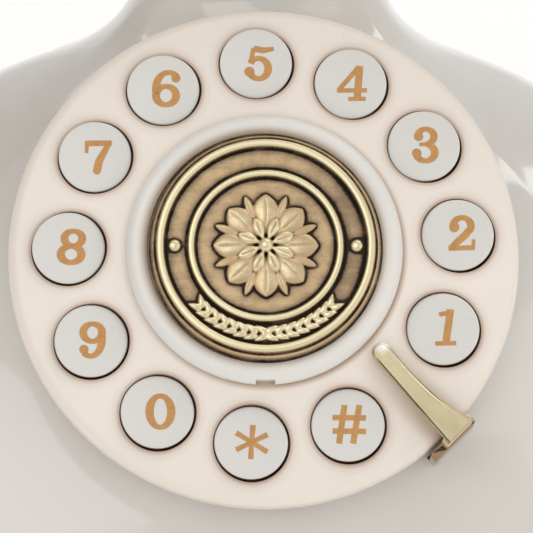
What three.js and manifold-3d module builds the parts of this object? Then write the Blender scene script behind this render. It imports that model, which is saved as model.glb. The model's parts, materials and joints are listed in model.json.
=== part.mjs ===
// A French-style cradle telephone with a push-button dial, in millimetres.
// +Z is up, the dial faces -Y, the handset lies along X, and the origin is the middle of the footprint on the table.
import * as THREE from "three";
import { mergeVertices } from "three/addons/utils/BufferGeometryUtils.js";
import Module from "manifold-3d";

const wasm = await Module();
wasm.setup();

// ---------------------------------------------------------------- driving dimensions
const GAP = 0.3; // clearance kept between pieces that touch
const WALL = 3; // moulded wall of the body

const DIAL_R = 48; // outer radius of the cream dial plate
const DIAL_AT = [0, -48, 78]; // middle of the dial, in the plane of its button holes
const DIAL_FACE_UP = 40; // degrees that the dial's axis points above the horizon
const SEAT_Z = -6; // where the dial plate sits on the body, along the dial's axis
const OPENING_R = 44.6; // opening in the body behind the dial

const KEY_NAMES = ["1", "2", "3", "4", "5", "6", "7", "8", "9", "0", "star", "hash"];
const KEY_PITCH = 29; // degrees from key to key; what is left of the turn holds the finger stop
const KEY_START = -24; // degrees, the place of key 1
const KEY_CIRCLE_R = 36.5;
const KEY_R = 6.84;
const KEY_HOLE_R = 7.3;
const KEY_TRAVEL = 1.6;
const KEY_FLANGE_Z = -3.3; // top of the flange that keeps a key behind the plate

const BEZEL_R = 25.85; // outer radius of the white ring round the medallion
const MEDALLION_R = 21.6;
const PLATE_HOLE_R = 15; // hole in the plate for the medallion's boss

const STOP_DIRECTION = -45; // degrees, the way that the finger stop points outwards
const STOP_TIP = 29.3; // distance of the round tip's centre from the dial's axis
const STOP_END = 49.9; // outer end of the blade

const NECK_Y = 10; // the neck, the cradle and the handset are centred on this plane
const NECK_TOP = 150;
const FOOT_H = 3.7;

const CRADLE_X = 44; // each fork's distance from the middle
const VALLEY_Z = 167.9; // lowest point of the forks' inner curve
const FORK_R = 13.8; // inner radius of a fork
const PIN_TOP = 168.1; // top of the hook's pins, just under the handle

const CUP_X = 87; // middle of the earpiece and the mouthpiece
const CUP_TILT = 14; // degrees that each cup leans towards the middle
const CUP_TOP_Z = 168; // where a cup's axis leaves the handle

// The body's outline at each height: [z, half width, front y, back y, squareness].
// Plinth, sloping skirt, shoulder, neck and the flare under the cradle.
const BODY = [
  [3.5, 96, -86, 86, 5],
  [5, 97.6, -87.6, 87.6, 5],
  [13, 98, -88, 88, 5],
  [15.6, 96.6, -86.4, 86.6, 5],
  [17.4, 93.4, -83, 83.4, 4.8],
  [22, 90.8, -78.8, 80.6, 4.5],
  [32, 87.6, -71.4, 75, 4.1],
  [48, 83.4, -59.6, 67, 3.7],
  [62, 77, -48.4, 58.4, 3.3],
  [72, 70, -40, 51, 3],
  [78.6, 62.4, -34.4, 45.8, 2.8],
  [83.2, 54, -29.6, 41.8, 2.6],
  [87, 45, -25.4, 38.6, 2.5],
  [90.6, 38, -21.4, 36, 2.4],
  [95, 32, -16.6, 33.4, 2.3],
  [100.5, 27.2, -11.6, 30.6, 2.2],
  [109, 22.8, -8, 28, 2.2],
  [120, 20.2, -6.6, 26.6, 2.2],
  [134, 19.6, -6.2, 26.2, 2.2],
  [144, 22, -8.2, 28.2, 2.3],
  [150, 27, -12, 32, 2.4],
];

const COLOURS = {
  ivory: [0xdedbd5, 0.18, 0],
  cream: [0xebe2d7, 0.28, 0],
  white: [0xe6e5e2, 0.22, 0],
  gold: [0xd9cb98, 0.25, 1],
  brass: [0xa08a58, 0.4, 1],
  steel: [0xb8babd, 0.35, 1],
  rubber: [0x2b2a29, 0.8, 0],
  board: [0x2f6b45, 0.5, 0],
  black: [0x222224, 0.5, 0],
  silicone: [0x9aa0a3, 0.7, 0],
};

// ---------------------------------------------------------------- helpers
const rad = THREE.MathUtils.degToRad;
const at = (...matrices) => matrices.reduce((all, m) => all.multiply(m), new THREE.Matrix4());
const move = (x, y, z) => new THREE.Matrix4().makeTranslation(x, y, z);
const turnX = (deg) => new THREE.Matrix4().makeRotationX(rad(deg));
const turnY = (deg) => new THREE.Matrix4().makeRotationY(rad(deg));
const turnZ = (deg) => new THREE.Matrix4().makeRotationZ(rad(deg));

// A closed geometry as a solid that can be cut and joined.
function solid(geometry, matrix) {
  const bare = geometry.index ? geometry.toNonIndexed() : geometry.clone();
  bare.deleteAttribute("normal");
  bare.deleteAttribute("uv");
  if (matrix) bare.applyMatrix4(matrix);
  const merged = mergeVertices(bare, 1e-4);
  const faces = [];
  for (let i = 0; i < merged.index.count; i += 3) {
    const [a, b, c] = merged.index.array.slice(i, i + 3);
    if (a !== b && b !== c && c !== a) faces.push([a, b, c]);
  }
  const make = (list) =>
    new wasm.Manifold(
      new wasm.Mesh({
        numProp: 3,
        vertProperties: merged.attributes.position.array,
        triVerts: new Uint32Array(list.flat()),
      }),
    );
  const made = make(faces);
  return made.volume() > 0 ? made : make(faces.map(([a, b, c]) => [a, c, b]));
}

function geometryOf(body) {
  const mesh = body.getMesh();
  const geometry = new THREE.BufferGeometry();
  const positions = new Float32Array(mesh.numVert * 3);
  for (let i = 0; i < mesh.numVert; i++) {
    positions.set(mesh.vertProperties.subarray(i * mesh.numProp, i * mesh.numProp + 3), i * 3);
  }
  geometry.setAttribute("position", new THREE.BufferAttribute(positions, 3));
  geometry.setIndex(new THREE.BufferAttribute(mesh.triVerts, 1));
  geometry.computeVertexNormals();
  return geometry;
}

// A profile of [radius, height] turned round Z. It starts and ends on the axis, or is closed here.
function lathe(profile, sides, matrix) {
  const points = profile.map(([r, z]) => new THREE.Vector2(r, z));
  if (profile[0][0] > 0) points.push(points[0].clone());
  return solid(new THREE.LatheGeometry(points, sides).rotateX(Math.PI / 2), matrix);
}

const disc = (r, low, high, sides, matrix) =>
  lathe([[0, low], [r, low], [r, high], [0, high]], sides, matrix);

function block(low, high, matrix) {
  const size = high.map((h, i) => h - low[i]);
  const middle = high.map((h, i) => (h + low[i]) / 2);
  return solid(new THREE.BoxGeometry(...size).translate(...middle), matrix);
}

function extrude(shape, depth, matrix, curveSegments = 8) {
  return solid(new THREE.ExtrudeGeometry(shape, { depth, bevelEnabled: false, curveSegments }), matrix);
}

// Joins rings of points, all with the same count, into a closed solid with flat ends.
function loft(rings) {
  const sides = rings[0].length;
  const points = rings.flat();
  const faces = [];
  for (let j = 0; j + 1 < rings.length; j++) {
    for (let i = 0; i < sides; i++) {
      const [a, b] = [j * sides + i, j * sides + ((i + 1) % sides)];
      faces.push(a, b, b + sides, a, b + sides, a + sides);
    }
  }
  for (const [start, first] of [[0, true], [points.length - sides, false]]) {
    const ring = points.slice(start, start + sides);
    const middle = ring.reduce((sum, p) => sum.add(p), new THREE.Vector3()).divideScalar(sides);
    points.push(middle);
    for (let i = 0; i < sides; i++) {
      const [a, b] = [start + i, start + ((i + 1) % sides)];
      faces.push(...(first ? [b, a] : [a, b]), points.length - 1);
    }
  }
  const geometry = new THREE.BufferGeometry().setFromPoints(points);
  geometry.setIndex(faces);
  return solid(geometry);
}

const object = new THREE.Group();
const dial = new THREE.Group();
dial.position.set(...DIAL_AT);
dial.rotation.x = rad(90 - DIAL_FACE_UP);
object.add(dial);
const DIAL = at(move(...DIAL_AT), turnX(90 - DIAL_FACE_UP));

function add(name, colour, body, group = object) {
  const [color, roughness, metalness] = COLOURS[colour];
  const mesh = new THREE.Mesh(
    geometryOf(body),
    new THREE.MeshStandardMaterial({ color, roughness, metalness }),
  );
  mesh.name = name;
  group.add(mesh);
  return mesh;
}

// ---------------------------------------------------------------- body
// The outline's ring of points at one height, moved inwards by inset.
function bodyRing([z, half, front, back, square], inset, sides) {
  const ring = [];
  for (let i = 0; i < sides; i++) {
    const t = (i / sides) * 2 * Math.PI;
    const power = (v) => Math.sign(v) * Math.abs(v) ** (2 / square);
    ring.push(
      new THREE.Vector3(
        (half - inset) * power(Math.cos(t)),
        (front + back) / 2 + ((back - front) / 2 - inset) * power(Math.sin(t)),
        z,
      ),
    );
  }
  return ring;
}

// The stations between low and high, with more rings worked out between them on a smooth curve.
function bodyRings(inset, sides, low, high) {
  const inside = BODY.filter(([z]) => z > low && z < high);
  const station = (z) => {
    const next = Math.min(Math.max(BODY.findIndex((s) => s[0] >= z), 1), BODY.length - 1);
    const [a, b] = [BODY[next - 1], BODY[next]];
    const t = (z - a[0]) / (b[0] - a[0]);
    return a.map((v, i) => v + (b[i] - v) * t);
  };
  const all = [[low, ...station(low).slice(1)], ...inside, [high, ...station(high).slice(1)]];
  return all.map((s) => bodyRing(s, inset, sides));
}

const POSTS = [[-80, -40], [80, -40], [-80, 44], [80, 44]];
const BACK_Y = 79.6; // face of the sockets at the back
const LINE_JACK_X = -30;
const SWITCH_X = 32;
const SOCKET_Z = 24.5;
const SIDE_JACK_X = -90.4; // face of the handset cord's socket, on the left
const STOP_LEG = { from: 48.6, to: 50.2, low: -5.9, high: 6.2, bottom: -13 };

function bodyShell() {
  const boss = lathe([[0, -30], [58, -30], [52, -19], [48.6, -12], [47, SEAT_Z], [0, SEAT_Z]], 36, DIAL);
  const outside = loft(bodyRings(0, 40, 3.5, NECK_TOP));
  let shell = outside.add(boss.intersect(block([-90, -88, 12], [90, 18, 118])));
  const inner = loft(bodyRings(WALL, 24, 3.5, NECK_TOP));
  const through = [
    loft(bodyRings(WALL, 24, 3.5, 4).map((ring) => ring.map((p) => p.clone().setZ(p.z - 2)))),
    loft(bodyRings(WALL, 24, 149.5, NECK_TOP).map((ring) => ring.map((p) => p.clone().setZ(p.z + 1)))),
  ];
  shell = shell.subtract(inner);
  for (const cut of through) shell = shell.subtract(cut);
  shell = shell.subtract(disc(OPENING_R, -40, SEAT_Z + 1, 36, DIAL));
  const { from, to, low, high, bottom } = STOP_LEG;
  shell = shell.subtract(
    block([from - GAP, low - GAP, bottom - GAP], [to + GAP, high + GAP, 4], at(DIAL, turnZ(STOP_DIRECTION))),
  );
  for (const [x, y] of POSTS) {
    const post = disc(4.5, 7, 32, 10, move(x, y, 0)).intersect(outside);
    shell = shell.add(post);
    shell = shell.subtract(disc(1.8, 6, 24, 8, move(x, y, 0)));
  }
  shell = shell.subtract(
    block([LINE_JACK_X - 6.8, 60, SOCKET_Z - 5.8], [LINE_JACK_X + 6.8, 90, SOCKET_Z + 5.8]),
  );
  shell = shell.subtract(block([SWITCH_X - 7, 70, SOCKET_Z - 2.3], [SWITCH_X + 7, 90, SOCKET_Z + 2.3]));
  return shell.subtract(block([-100, -5.8, SOCKET_Z - 4.8], [-70, 5.8, SOCKET_Z + 4.8]));
}

add("body_shell", "ivory", bodyShell());

// ---------------------------------------------------------------- base
const FEET = { front_left: [-68, -66], front_right: [68, -66], rear_left: [-68, 66], rear_right: [68, 66] };
const SPEAKER_AT = [-40, 30];

function basePlate() {
  const ring = bodyRing(BODY[0], WALL + GAP, 24);
  let plate = loft([ring.map((p) => p.clone().setZ(4)), ring.map((p) => p.clone().setZ(6.6))]);
  for (const [x, y] of POSTS) {
    plate = plate.subtract(disc(2, 3, 8, 8, move(x, y, 0)));
    plate = plate.subtract(disc(3.6, 3, 5, 10, move(x, y, 0)));
  }
  const sound = [[0, 0], ...Array.from({ length: 6 }, (_, i) => [i * 60, 8])];
  for (const [angle, r] of sound) {
    const hole = disc(1.6, 3, 8, 6, at(move(...SPEAKER_AT, 0), turnZ(angle), move(r, 0, 0)));
    plate = plate.subtract(hole);
  }
  return plate;
}

add("base_plate", "ivory", basePlate());
for (const [place, [x, y]] of Object.entries(FEET)) {
  const profile = [[0, 0], [6.6, 0], [8, 1], [8, FOOT_H], [0, FOOT_H]];
  add(`foot_${place}`, "rubber", lathe(profile, 14, move(x, y, 0)));
}
POSTS.forEach(([x, y], i) => {
  const screw = lathe([[0, 4.2], [3.3, 4.2], [3.3, 4.5], [1.5, 4.9], [1.5, 20], [0, 21]], 8, move(x, y, 0));
  add(`base_screw_${i + 1}`, "steel", screw);
});
add("ballast_plate", "steel", block([-45, -48, 6.9], [45, 2, 12.9]));
add(
  "ringer_speaker",
  "black",
  lathe([[0, 6.9], [20, 6.9], [20, 9.5], [12, 15], [0, 15]], 20, move(...SPEAKER_AT, 0)),
);
const standoffs = [[-4, 44], [54, 44], [-4, 70], [54, 70]];
let board = block([-10, 38, 12], [60, 75, 13.6]);
for (const [x, y] of standoffs) board = board.add(disc(3, 6.9, 12.5, 8, move(x, y, 0)));
for (const [x, y, w, d, h] of [[8, 50, 16, 10, 3], [34, 54, 12, 12, 6], [46, 62, 6, 8, 5]]) {
  board = board.add(block([x, y, 13], [x + w, y + d, 13.6 + h]));
}
add("main_board", "board", board);

// ---------------------------------------------------------------- sockets and ringer switch
function lineJack() {
  const body = block([LINE_JACK_X - 6.5, 62, SOCKET_Z - 5.5], [LINE_JACK_X + 6.5, BACK_Y, SOCKET_Z + 5.5]);
  const mouth = block([LINE_JACK_X - 4.9, 68, SOCKET_Z - 3.4], [LINE_JACK_X + 4.9, 90, SOCKET_Z + 3.2]);
  const latch = block([LINE_JACK_X - 1.8, 68, SOCKET_Z - 4.6], [LINE_JACK_X + 1.8, 90, SOCKET_Z]);
  return body.subtract(mouth).subtract(latch);
}

function cordJack() {
  const body = block([SIDE_JACK_X, -5.5, SOCKET_Z - 4.5], [-74, 5.5, SOCKET_Z + 4.5]);
  const mouth = block([-95, -3.9, SOCKET_Z - 2.9], [-80, 3.9, SOCKET_Z + 2.9]);
  const latch = block([-95, -1.4, SOCKET_Z - 3.8], [-80, 1.4, SOCKET_Z]);
  return body.subtract(mouth).subtract(latch);
}

add("line_jack", "black", lineJack());
add("cord_jack", "black", cordJack());
add("ringer_switch", "black", block([SWITCH_X - 10, 62, SOCKET_Z - 4], [SWITCH_X + 10, 71.6, SOCKET_Z + 4]));
add(
  "ringer_knob",
  "black",
  block([SWITCH_X - 3, 71.9, SOCKET_Z - 2], [SWITCH_X + 3, BACK_Y, SOCKET_Z + 2]).add(
    block([SWITCH_X - 0.6, BACK_Y - 0.5, SOCKET_Z - 2], [SWITCH_X + 0.6, BACK_Y + 0.8, SOCKET_Z + 2]),
  ),
);

// ---------------------------------------------------------------- dial
const domeZ = (r) => 3 * (1 - (r / KEY_CIRCLE_R) ** 2); // height of the plate's crowned face
const keyAngles = KEY_NAMES.map((_, i) => KEY_START + i * KEY_PITCH);
const STANDOFF_R = 23;
const STANDOFF_ANGLES = [90, 210, 330];

function dialPlate() {
  const crown = [46.5, 42, 31, BEZEL_R, 20].map((r) => [r, domeZ(r)]);
  const outline = [
    [44.9, -3],
    [44.9, SEAT_Z + GAP],
    [DIAL_R, SEAT_Z + GAP],
    [DIAL_R, -3.4],
    ...crown,
    [PLATE_HOLE_R, 1.6],
    [PLATE_HOLE_R, -3],
  ];
  let plate = lathe(outline, 44);
  for (const angle of keyAngles) {
    plate = plate.subtract(disc(KEY_HOLE_R, -8, 8, 16, at(turnZ(angle), move(KEY_CIRCLE_R, 0, 0))));
  }
  for (const angle of STANDOFF_ANGLES) {
    const place = at(turnZ(angle), move(STANDOFF_R, 0, 0));
    plate = plate.add(disc(3, -9.6, -2.5, 10, place)).subtract(disc(1.4, -12, -4, 8, place));
  }
  return plate;
}

add("dial_plate", "cream", dialPlate(), dial);

KEY_NAMES.forEach((name, i) => {
  const cap = [
    [0, -6.5],
    [2.4, -6.5],
    [2.4, -4.6],
    [7.7, -4.6],
    [7.7, KEY_FLANGE_Z],
    [KEY_R, KEY_FLANGE_Z],
    [KEY_R, 0.1],
    [0, 0.4],
  ];
  const key = add(`key_${name}`, "white", lathe(cap, 18), dial);
  key.rotation.z = rad(keyAngles[i]);
  key.position.set(KEY_CIRCLE_R, 0, 0).applyAxisAngle(new THREE.Vector3(0, 0, 1), rad(keyAngles[i]));
});

const membraneTop = -6.5 - KEY_TRAVEL - GAP;
add(
  "key_membrane",
  "silicone",
  lathe([[28.4, membraneTop - 1.2], [44, membraneTop - 1.2], [44, membraneTop], [28.4, membraneTop]], 28),
  dial,
);
let keypad = disc(43.6, membraneTop - 3.1, membraneTop - 1.5, 28);
for (const angle of STANDOFF_ANGLES) {
  keypad = keypad.subtract(disc(1.5, -14, -8, 8, at(turnZ(angle), move(STANDOFF_R, 0, 0))));
}
add("keypad_board", "board", keypad, dial);
STANDOFF_ANGLES.forEach((angle, i) => {
  const under = membraneTop - 3.1 - GAP;
  const screw = [[0, under - 1.6], [2.6, under - 1.6], [2.6, under], [1.1, under], [1.1, -5.5], [0, -5]];
  add(`keypad_screw_${i + 1}`, "steel", lathe(screw, 8, at(turnZ(angle), move(STANDOFF_R, 0, 0))), dial);
});

const bezelFoot = domeZ(BEZEL_R) + GAP;
add(
  "bezel_ring",
  "white",
  lathe(
    [
      [22, domeZ(22) + GAP],
      [BEZEL_R - 0.3, bezelFoot],
      [BEZEL_R, bezelFoot + 0.5],
      [24.8, bezelFoot + 2],
      [23, bezelFoot + 2],
      [22, bezelFoot + 0.6],
    ],
    44,
  ),
  dial,
);

// Disc with a raised outer rim and a raised inner ring, and a boss through the plate.
add(
  "medallion",
  "brass",
  lathe(
    [
      [0, -1],
      [PLATE_HOLE_R - GAP, -1],
      [PLATE_HOLE_R - GAP, 3.3],
      [MEDALLION_R, 3.3],
      [MEDALLION_R, 4.6],
      [20.6, 5.9],
      [18.9, 5.9],
      [18.5, 5.1],
      [14.5, 5.2],
      [14.2, 6],
      [13.3, 6],
      [0, 5.6],
    ],
    44,
  ),
  dial,
);

// Blade over the plate, narrow at its round tip and flared at its outer end, with a leg down into the body.
function fingerStop() {
  const blade = new THREE.Shape();
  blade.moveTo(STOP_TIP, -0.5);
  blade.lineTo(STOP_END, -2.3);
  blade.lineTo(STOP_END, 4.4);
  blade.bezierCurveTo(44.5, 1.9, 37, 2.2, STOP_TIP + 0.4, 2.95);
  blade.absarc(STOP_TIP, 1.25, 1.75, Math.PI / 2, Math.PI * 1.5, false);
  const { from, to, low, high, bottom } = STOP_LEG;
  return extrude(blade, 1.3, at(turnZ(STOP_DIRECTION), move(0, 0, 2.2)), 10)
    .add(block([from, -2.3, bottom], [to, 4.4, 3.5], turnZ(STOP_DIRECTION)))
    .add(block([from, low, bottom], [to, high, -2.5], turnZ(STOP_DIRECTION)));
}

add("finger_stop", "gold", fingerStop(), dial);

// ---------------------------------------------------------------- cradle and hook switch
const SADDLE_LOW = 152.6;
const SADDLE_TOP = 162.4;
const BAR_LOW = 153;
const BRIDGE_Z = 138;
const PIN_R = 3;

// A long bar along X with round ends, half as deep as depth says, centred on the neck.
function roundBar(half, depth, low, high, sides = 6) {
  const shape = new THREE.Shape();
  shape.absarc(half - depth, 0, depth, -Math.PI / 2, Math.PI / 2, false);
  shape.absarc(-(half - depth), 0, depth, Math.PI / 2, Math.PI * 1.5, false);
  return extrude(shape, high - low, move(0, NECK_Y, low), sides);
}

function fork() {
  const centre = VALLEY_Z + FORK_R;
  const [outer, tip] = [FORK_R + 4.6, centre + 9];
  const shape = new THREE.Shape();
  shape.absarc(0, centre, outer, Math.PI * 1.22, Math.PI * 1.78, false);
  shape.lineTo(outer + 0.6, centre);
  shape.lineTo(outer + 2.4, tip);
  shape.absarc(outer + 0.2, tip, 2.2, 0, Math.PI, false);
  shape.lineTo(FORK_R + 0.2, centre);
  shape.absarc(0, centre, FORK_R, 0, -Math.PI, true);
  shape.lineTo(-outer + 2, tip);
  shape.absarc(-outer - 0.2, tip, 2.2, 0, Math.PI, false);
  shape.lineTo(-outer - 0.6, centre);
  // Drawn in Y and Z, then stood up so that it is thick along X.
  return extrude(shape, 8, at(move(-4, NECK_Y, 0), turnZ(90), turnX(90)), 8);
}

function saddle() {
  let made = roundBar(54, 13, SADDLE_LOW, SADDLE_TOP);
  made = made.subtract(roundBar(49.6, 6.5, SADDLE_LOW - 1, 160.2));
  for (const x of [-CRADLE_X, CRADLE_X]) {
    made = made.subtract(disc(PIN_R + 0.4, 158, 164, 12, move(x, NECK_Y, 0)));
  }
  return made;
}

add("saddle", "gold", saddle());
const collar = bodyRing(BODY[BODY.length - 1], -1.2, 28);
const cover = loft([150.3, 152.3].map((z) => collar.map((p) => p.clone().setZ(z))))
  .add(roundBar(53, 12, 150.3, 152.3))
  .subtract(block([-6, NECK_Y - 6, 149], [6, NECK_Y + 6, 154]));
add("saddle_cover", "gold", cover);
for (const [name, x] of [["fork_left", -CRADLE_X], ["fork_right", CRADLE_X]]) {
  const pad = disc(7, SADDLE_TOP + GAP, 167, 14, move(x, NECK_Y, 0));
  const centre = VALLEY_Z + FORK_R;
  const bowl = disc(FORK_R, -9, 9, 16, at(move(x, NECK_Y, centre), turnY(90)));
  let made = fork();
  made = solid(geometryOf(made).translate(x, 0, 0)).add(pad.subtract(bowl));
  made = made.intersect(block([x - 9, -30, SADDLE_TOP + GAP], [x + 9, 60, 220]));
  add(name, "gold", made.subtract(disc(PIN_R + 0.4, 150, 172, 12, move(x, NECK_Y, 0))));
}

function hookBar() {
  let bar = roundBar(48.6, 5, BAR_LOW, BAR_LOW + 2.4);
  for (const x of [-CRADLE_X, CRADLE_X]) {
    bar = bar.add(disc(PIN_R, BAR_LOW + 1, PIN_TOP, 12, move(x, NECK_Y, 0)));
  }
  return bar.add(disc(2.6, BRIDGE_Z - 2, BAR_LOW + 1, 14, move(0, NECK_Y, 0)));
}

add("hook_bar", "steel", hookBar());

class Helix extends THREE.Curve {
  constructor(radius, low, high, turns) {
    super();
    Object.assign(this, { radius, low, high, turns });
  }
  getPoint(t, target = new THREE.Vector3()) {
    const angle = t * this.turns * 2 * Math.PI;
    return target.set(
      this.radius * Math.cos(angle),
      NECK_Y + this.radius * Math.sin(angle),
      this.low + t * (this.high - this.low),
    );
  }
}

const SPRING = { radius: 4, wire: 0.45, turns: 4, low: BRIDGE_Z + 2.6, high: BAR_LOW - 0.8 };
const wire = new THREE.Shape();
wire.absarc(0, 0, SPRING.wire, 0, 2 * Math.PI, false);
add(
  "hook_spring",
  "steel",
  solid(
    new THREE.ExtrudeGeometry(wire, {
      steps: SPRING.turns * 10,
      curveSegments: 3,
      extrudePath: new Helix(SPRING.radius, SPRING.low, SPRING.high, SPRING.turns),
    }),
  ),
);
const bridge = loft(bodyRings(WALL + GAP, 24, BRIDGE_Z, BRIDGE_Z + 2));
add("neck_bridge", "black", bridge.subtract(disc(3.1, 130, 145, 14, move(0, NECK_Y, 0))));
add("hook_microswitch", "black", block([-10, NECK_Y - 4, 124], [10, NECK_Y + 4, BRIDGE_Z - 2.4]));

// ---------------------------------------------------------------- handset
// Centreline of the handle: arched over the cradle and bent down into the cups.
const HANDLE = [
  [-90, 158],
  [-82, 167],
  [-66, 175.5],
  [-44, 180],
  [-20, 182],
  [0, 182.4],
];
// Half depth and half height of the handle's oval section at those points.
const HANDLE_SIZE = [
  [17, 12],
  [16.5, 12],
  [13.6, 11.2],
  [12, 11],
  [11.6, 10.8],
  [11.5, 10.8],
];

function mirrored(points) {
  return [...points, ...points.slice(0, -1).reverse().map(([x, z]) => [-x, z])];
}

function handle() {
  const line = new THREE.CatmullRomCurve3(mirrored(HANDLE).map(([x, z]) => new THREE.Vector3(x, NECK_Y, z)));
  const sizes = [...HANDLE_SIZE, ...HANDLE_SIZE.slice(0, -1).reverse()];
  const [steps, sides] = [24, 16];
  const rings = [];
  for (let j = 0; j <= steps; j++) {
    const t = j / steps;
    const point = line.getPoint(t);
    const along = line.getTangent(t);
    const up = new THREE.Vector3(-along.z, 0, along.x);
    const place = t * (sizes.length - 1);
    const k = Math.min(Math.floor(place), sizes.length - 2);
    const [depth, height] = sizes[k].map((v, i) => v + (sizes[k + 1][i] - v) * (place - k));
    const ring = [];
    for (let i = 0; i < sides; i++) {
      const a = (i / sides) * 2 * Math.PI;
      ring.push(
        point
          .clone()
          .addScaledVector(new THREE.Vector3(0, 1, 0), depth * Math.cos(a))
          .addScaledVector(up, height * Math.sin(a)),
      );
    }
    rings.push(ring);
  }
  return loft(rings);
}

// Each cup's own frame: its axis points down and a little towards the middle.
const cupFrame = (side) => at(move(side * CUP_X, NECK_Y, CUP_TOP_Z), turnY(180 + side * CUP_TILT));
const CUP_DEPTH = 16; // from the top of a cup's axis to the trim ring
const CUP_R = 24;

function grip() {
  let made = handle();
  for (const side of [-1, 1]) {
    const cup = [[0, -2], [10, -1], [18, 3], [22.4, 8], [CUP_R, 13], [CUP_R, CUP_DEPTH], [0, CUP_DEPTH]];
    made = made.add(lathe(cup, 28, cupFrame(side)));
  }
  for (const side of [-1, 1]) {
    made = made.subtract(lathe([[0, 7], [20.6, 8], [20.6, 40], [0, 40]], 24, cupFrame(side)));
  }
  // The cord's socket opens in the side of the mouthpiece cup.
  return made.subtract(block([12, -5.3, 6.8], [30, 5.3, 17], cupFrame(-1)));
}

function handsetJack() {
  const body = block([12.3, -5, 7.1], [23.4, 5, 15.7], cupFrame(-1));
  const mouth = block([13.6, -3.9, 8.4], [26, 3.9, 14.4], cupFrame(-1));
  const latch = block([13.6, -1.4, 7.8], [26, 1.4, 9], cupFrame(-1));
  return body.subtract(mouth).subtract(latch);
}

const trimProfile = [
  [20.9, CUP_DEPTH + GAP],
  [25.2, CUP_DEPTH + GAP],
  [26, CUP_DEPTH + 1.7],
  [25.2, CUP_DEPTH + 3.2],
  [20.9, CUP_DEPTH + 3.2],
];

function cap(side, rise, rows) {
  const low = CUP_DEPTH + 3.5;
  const outer = [
    [20.9, low],
    [25.4, low],
    [26.2, low + 2],
    [26, low + 6],
    [23, low + 9],
    [14, low + 9 + rise * 0.8],
    [0, low + 9 + rise],
    [0, low + 6.6 + rise],
    [14, low + 6.6 + rise * 0.7],
    [20.9, low + 5],
  ];
  const points = outer.map(([r, z]) => new THREE.Vector2(r, z));
  points.push(points[0].clone());
  let made = solid(new THREE.LatheGeometry(points, 30).rotateX(Math.PI / 2), cupFrame(side));
  for (const [count, r] of rows) {
    for (let i = 0; i < count; i++) {
      const place = at(cupFrame(side), turnZ((360 / count) * i), move(r, 0, 0));
      made = made.subtract(disc(1.3, 18, 45, 6, place));
    }
  }
  return made;
}

add("handset_grip", "ivory", grip());
add("earpiece_trim", "gold", lathe(trimProfile, 30, cupFrame(1)));
add("mouthpiece_trim", "gold", lathe(trimProfile, 30, cupFrame(-1)));
add("earpiece_cap", "ivory", cap(1, -1.5, [[1, 0], [6, 6]]));
add("mouthpiece_cap", "ivory", cap(-1, 2.5, [[1, 0], [8, 8]]));
const capsule = (r, h) => [[0, 8.5], [r, 8.5], [r, 8.5 + h], [r - 6, 10 + h], [0, 10 + h]];
add("receiver_capsule", "black", lathe(capsule(19.6, 8), 20, cupFrame(1)));
add("microphone_capsule", "black", lathe(capsule(11.6, 7), 20, cupFrame(-1)));
add("handset_jack", "black", handsetJack());

export default object;
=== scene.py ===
import json
import math

import bmesh
import bpy
import numpy as np
from mathutils import Matrix, Vector


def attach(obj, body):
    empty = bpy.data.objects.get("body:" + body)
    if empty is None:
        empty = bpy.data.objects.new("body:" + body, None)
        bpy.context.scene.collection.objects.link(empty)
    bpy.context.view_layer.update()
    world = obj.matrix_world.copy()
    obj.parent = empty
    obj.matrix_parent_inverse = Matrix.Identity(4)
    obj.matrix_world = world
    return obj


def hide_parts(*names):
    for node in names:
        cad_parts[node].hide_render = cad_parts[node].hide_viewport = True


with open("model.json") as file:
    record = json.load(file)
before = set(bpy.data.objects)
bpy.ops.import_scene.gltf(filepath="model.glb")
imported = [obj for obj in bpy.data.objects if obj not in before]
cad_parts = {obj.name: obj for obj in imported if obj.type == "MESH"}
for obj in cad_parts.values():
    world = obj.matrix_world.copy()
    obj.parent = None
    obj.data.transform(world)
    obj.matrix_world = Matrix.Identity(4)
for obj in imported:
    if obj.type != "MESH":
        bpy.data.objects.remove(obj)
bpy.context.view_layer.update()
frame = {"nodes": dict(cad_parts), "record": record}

MM = 0.001

# ---------------------------------------------------------------- driving dimensions, in millimetres
DIAL_AT = (0, -48, 78)
DIAL_FACE_UP = 40  # degrees that the dial's axis points above the horizon
SEAT_Z = -6
SEAT_R = 48.35
OPENING_R = 44.6
DIAL_WALL_R = (44.45, 44.85)
PLATE_R = 48
KEY_NAMES = ["1", "2", "3", "4", "5", "6", "7", "8", "9", "0", "star", "hash"]
KEY_PITCH = 29
KEY_START = -24
KEY_CIRCLE_R = 36.5
KEY_R = 6.84
KEY_HOLE_R = 7.06
KEY_OFFSET = (-0.11, 0.10, 0)  # how far each cap sits off the middle of its hole
BEZEL_R = 25.85
MEDALLION_R = 21.75
STOP_DIRECTION = -45
STOP_TIP = 29.3  # the blade's ends, from the dial's axis
STOP_END = 50.2
NECK_Y = 10
WALL = 3
CUP_X = 87
CUP_TILT = 14
CUP_TOP_Z = 168
CUP_DEPTH = 16
CRADLE_X = 44
VALLEY_Z = 167.9
FORK_R = 13.8
CRADLE_PIN_HOLE_R = 3.4
BODY_SIDES = 240
FLOOR_REACH = 4000
KEY_FLANGE_R = 7.7
KEY_FLANGE_Z = (-4.6, -3.3)
FIGURE_SCALE = 0.97
FIGURE_SHIFT = (0.48, 0.0)
FIGURE_LIFT = 0.035  # how far the print lies above the cap
OUTER_MOULDING_R = 19.67  # the medallion's two raised rings
INNER_MOULDING_R = 13.9
CONTACT_PITCH = 1.02
SKIN_VOXEL = 0.85

# The camera: where it looks from, in degrees round the dial's middle, and how far off it stands.
CAMERA_AZIMUTH = -1.741
CAMERA_ELEVATION = 26.712
CAMERA_ROLL = 0.804
CAMERA_LENS = 290.4
CAMERA_DISTANCE = 804.5
CAMERA_SHIFT = (0.405, -2.72)  # to its right and up

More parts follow.
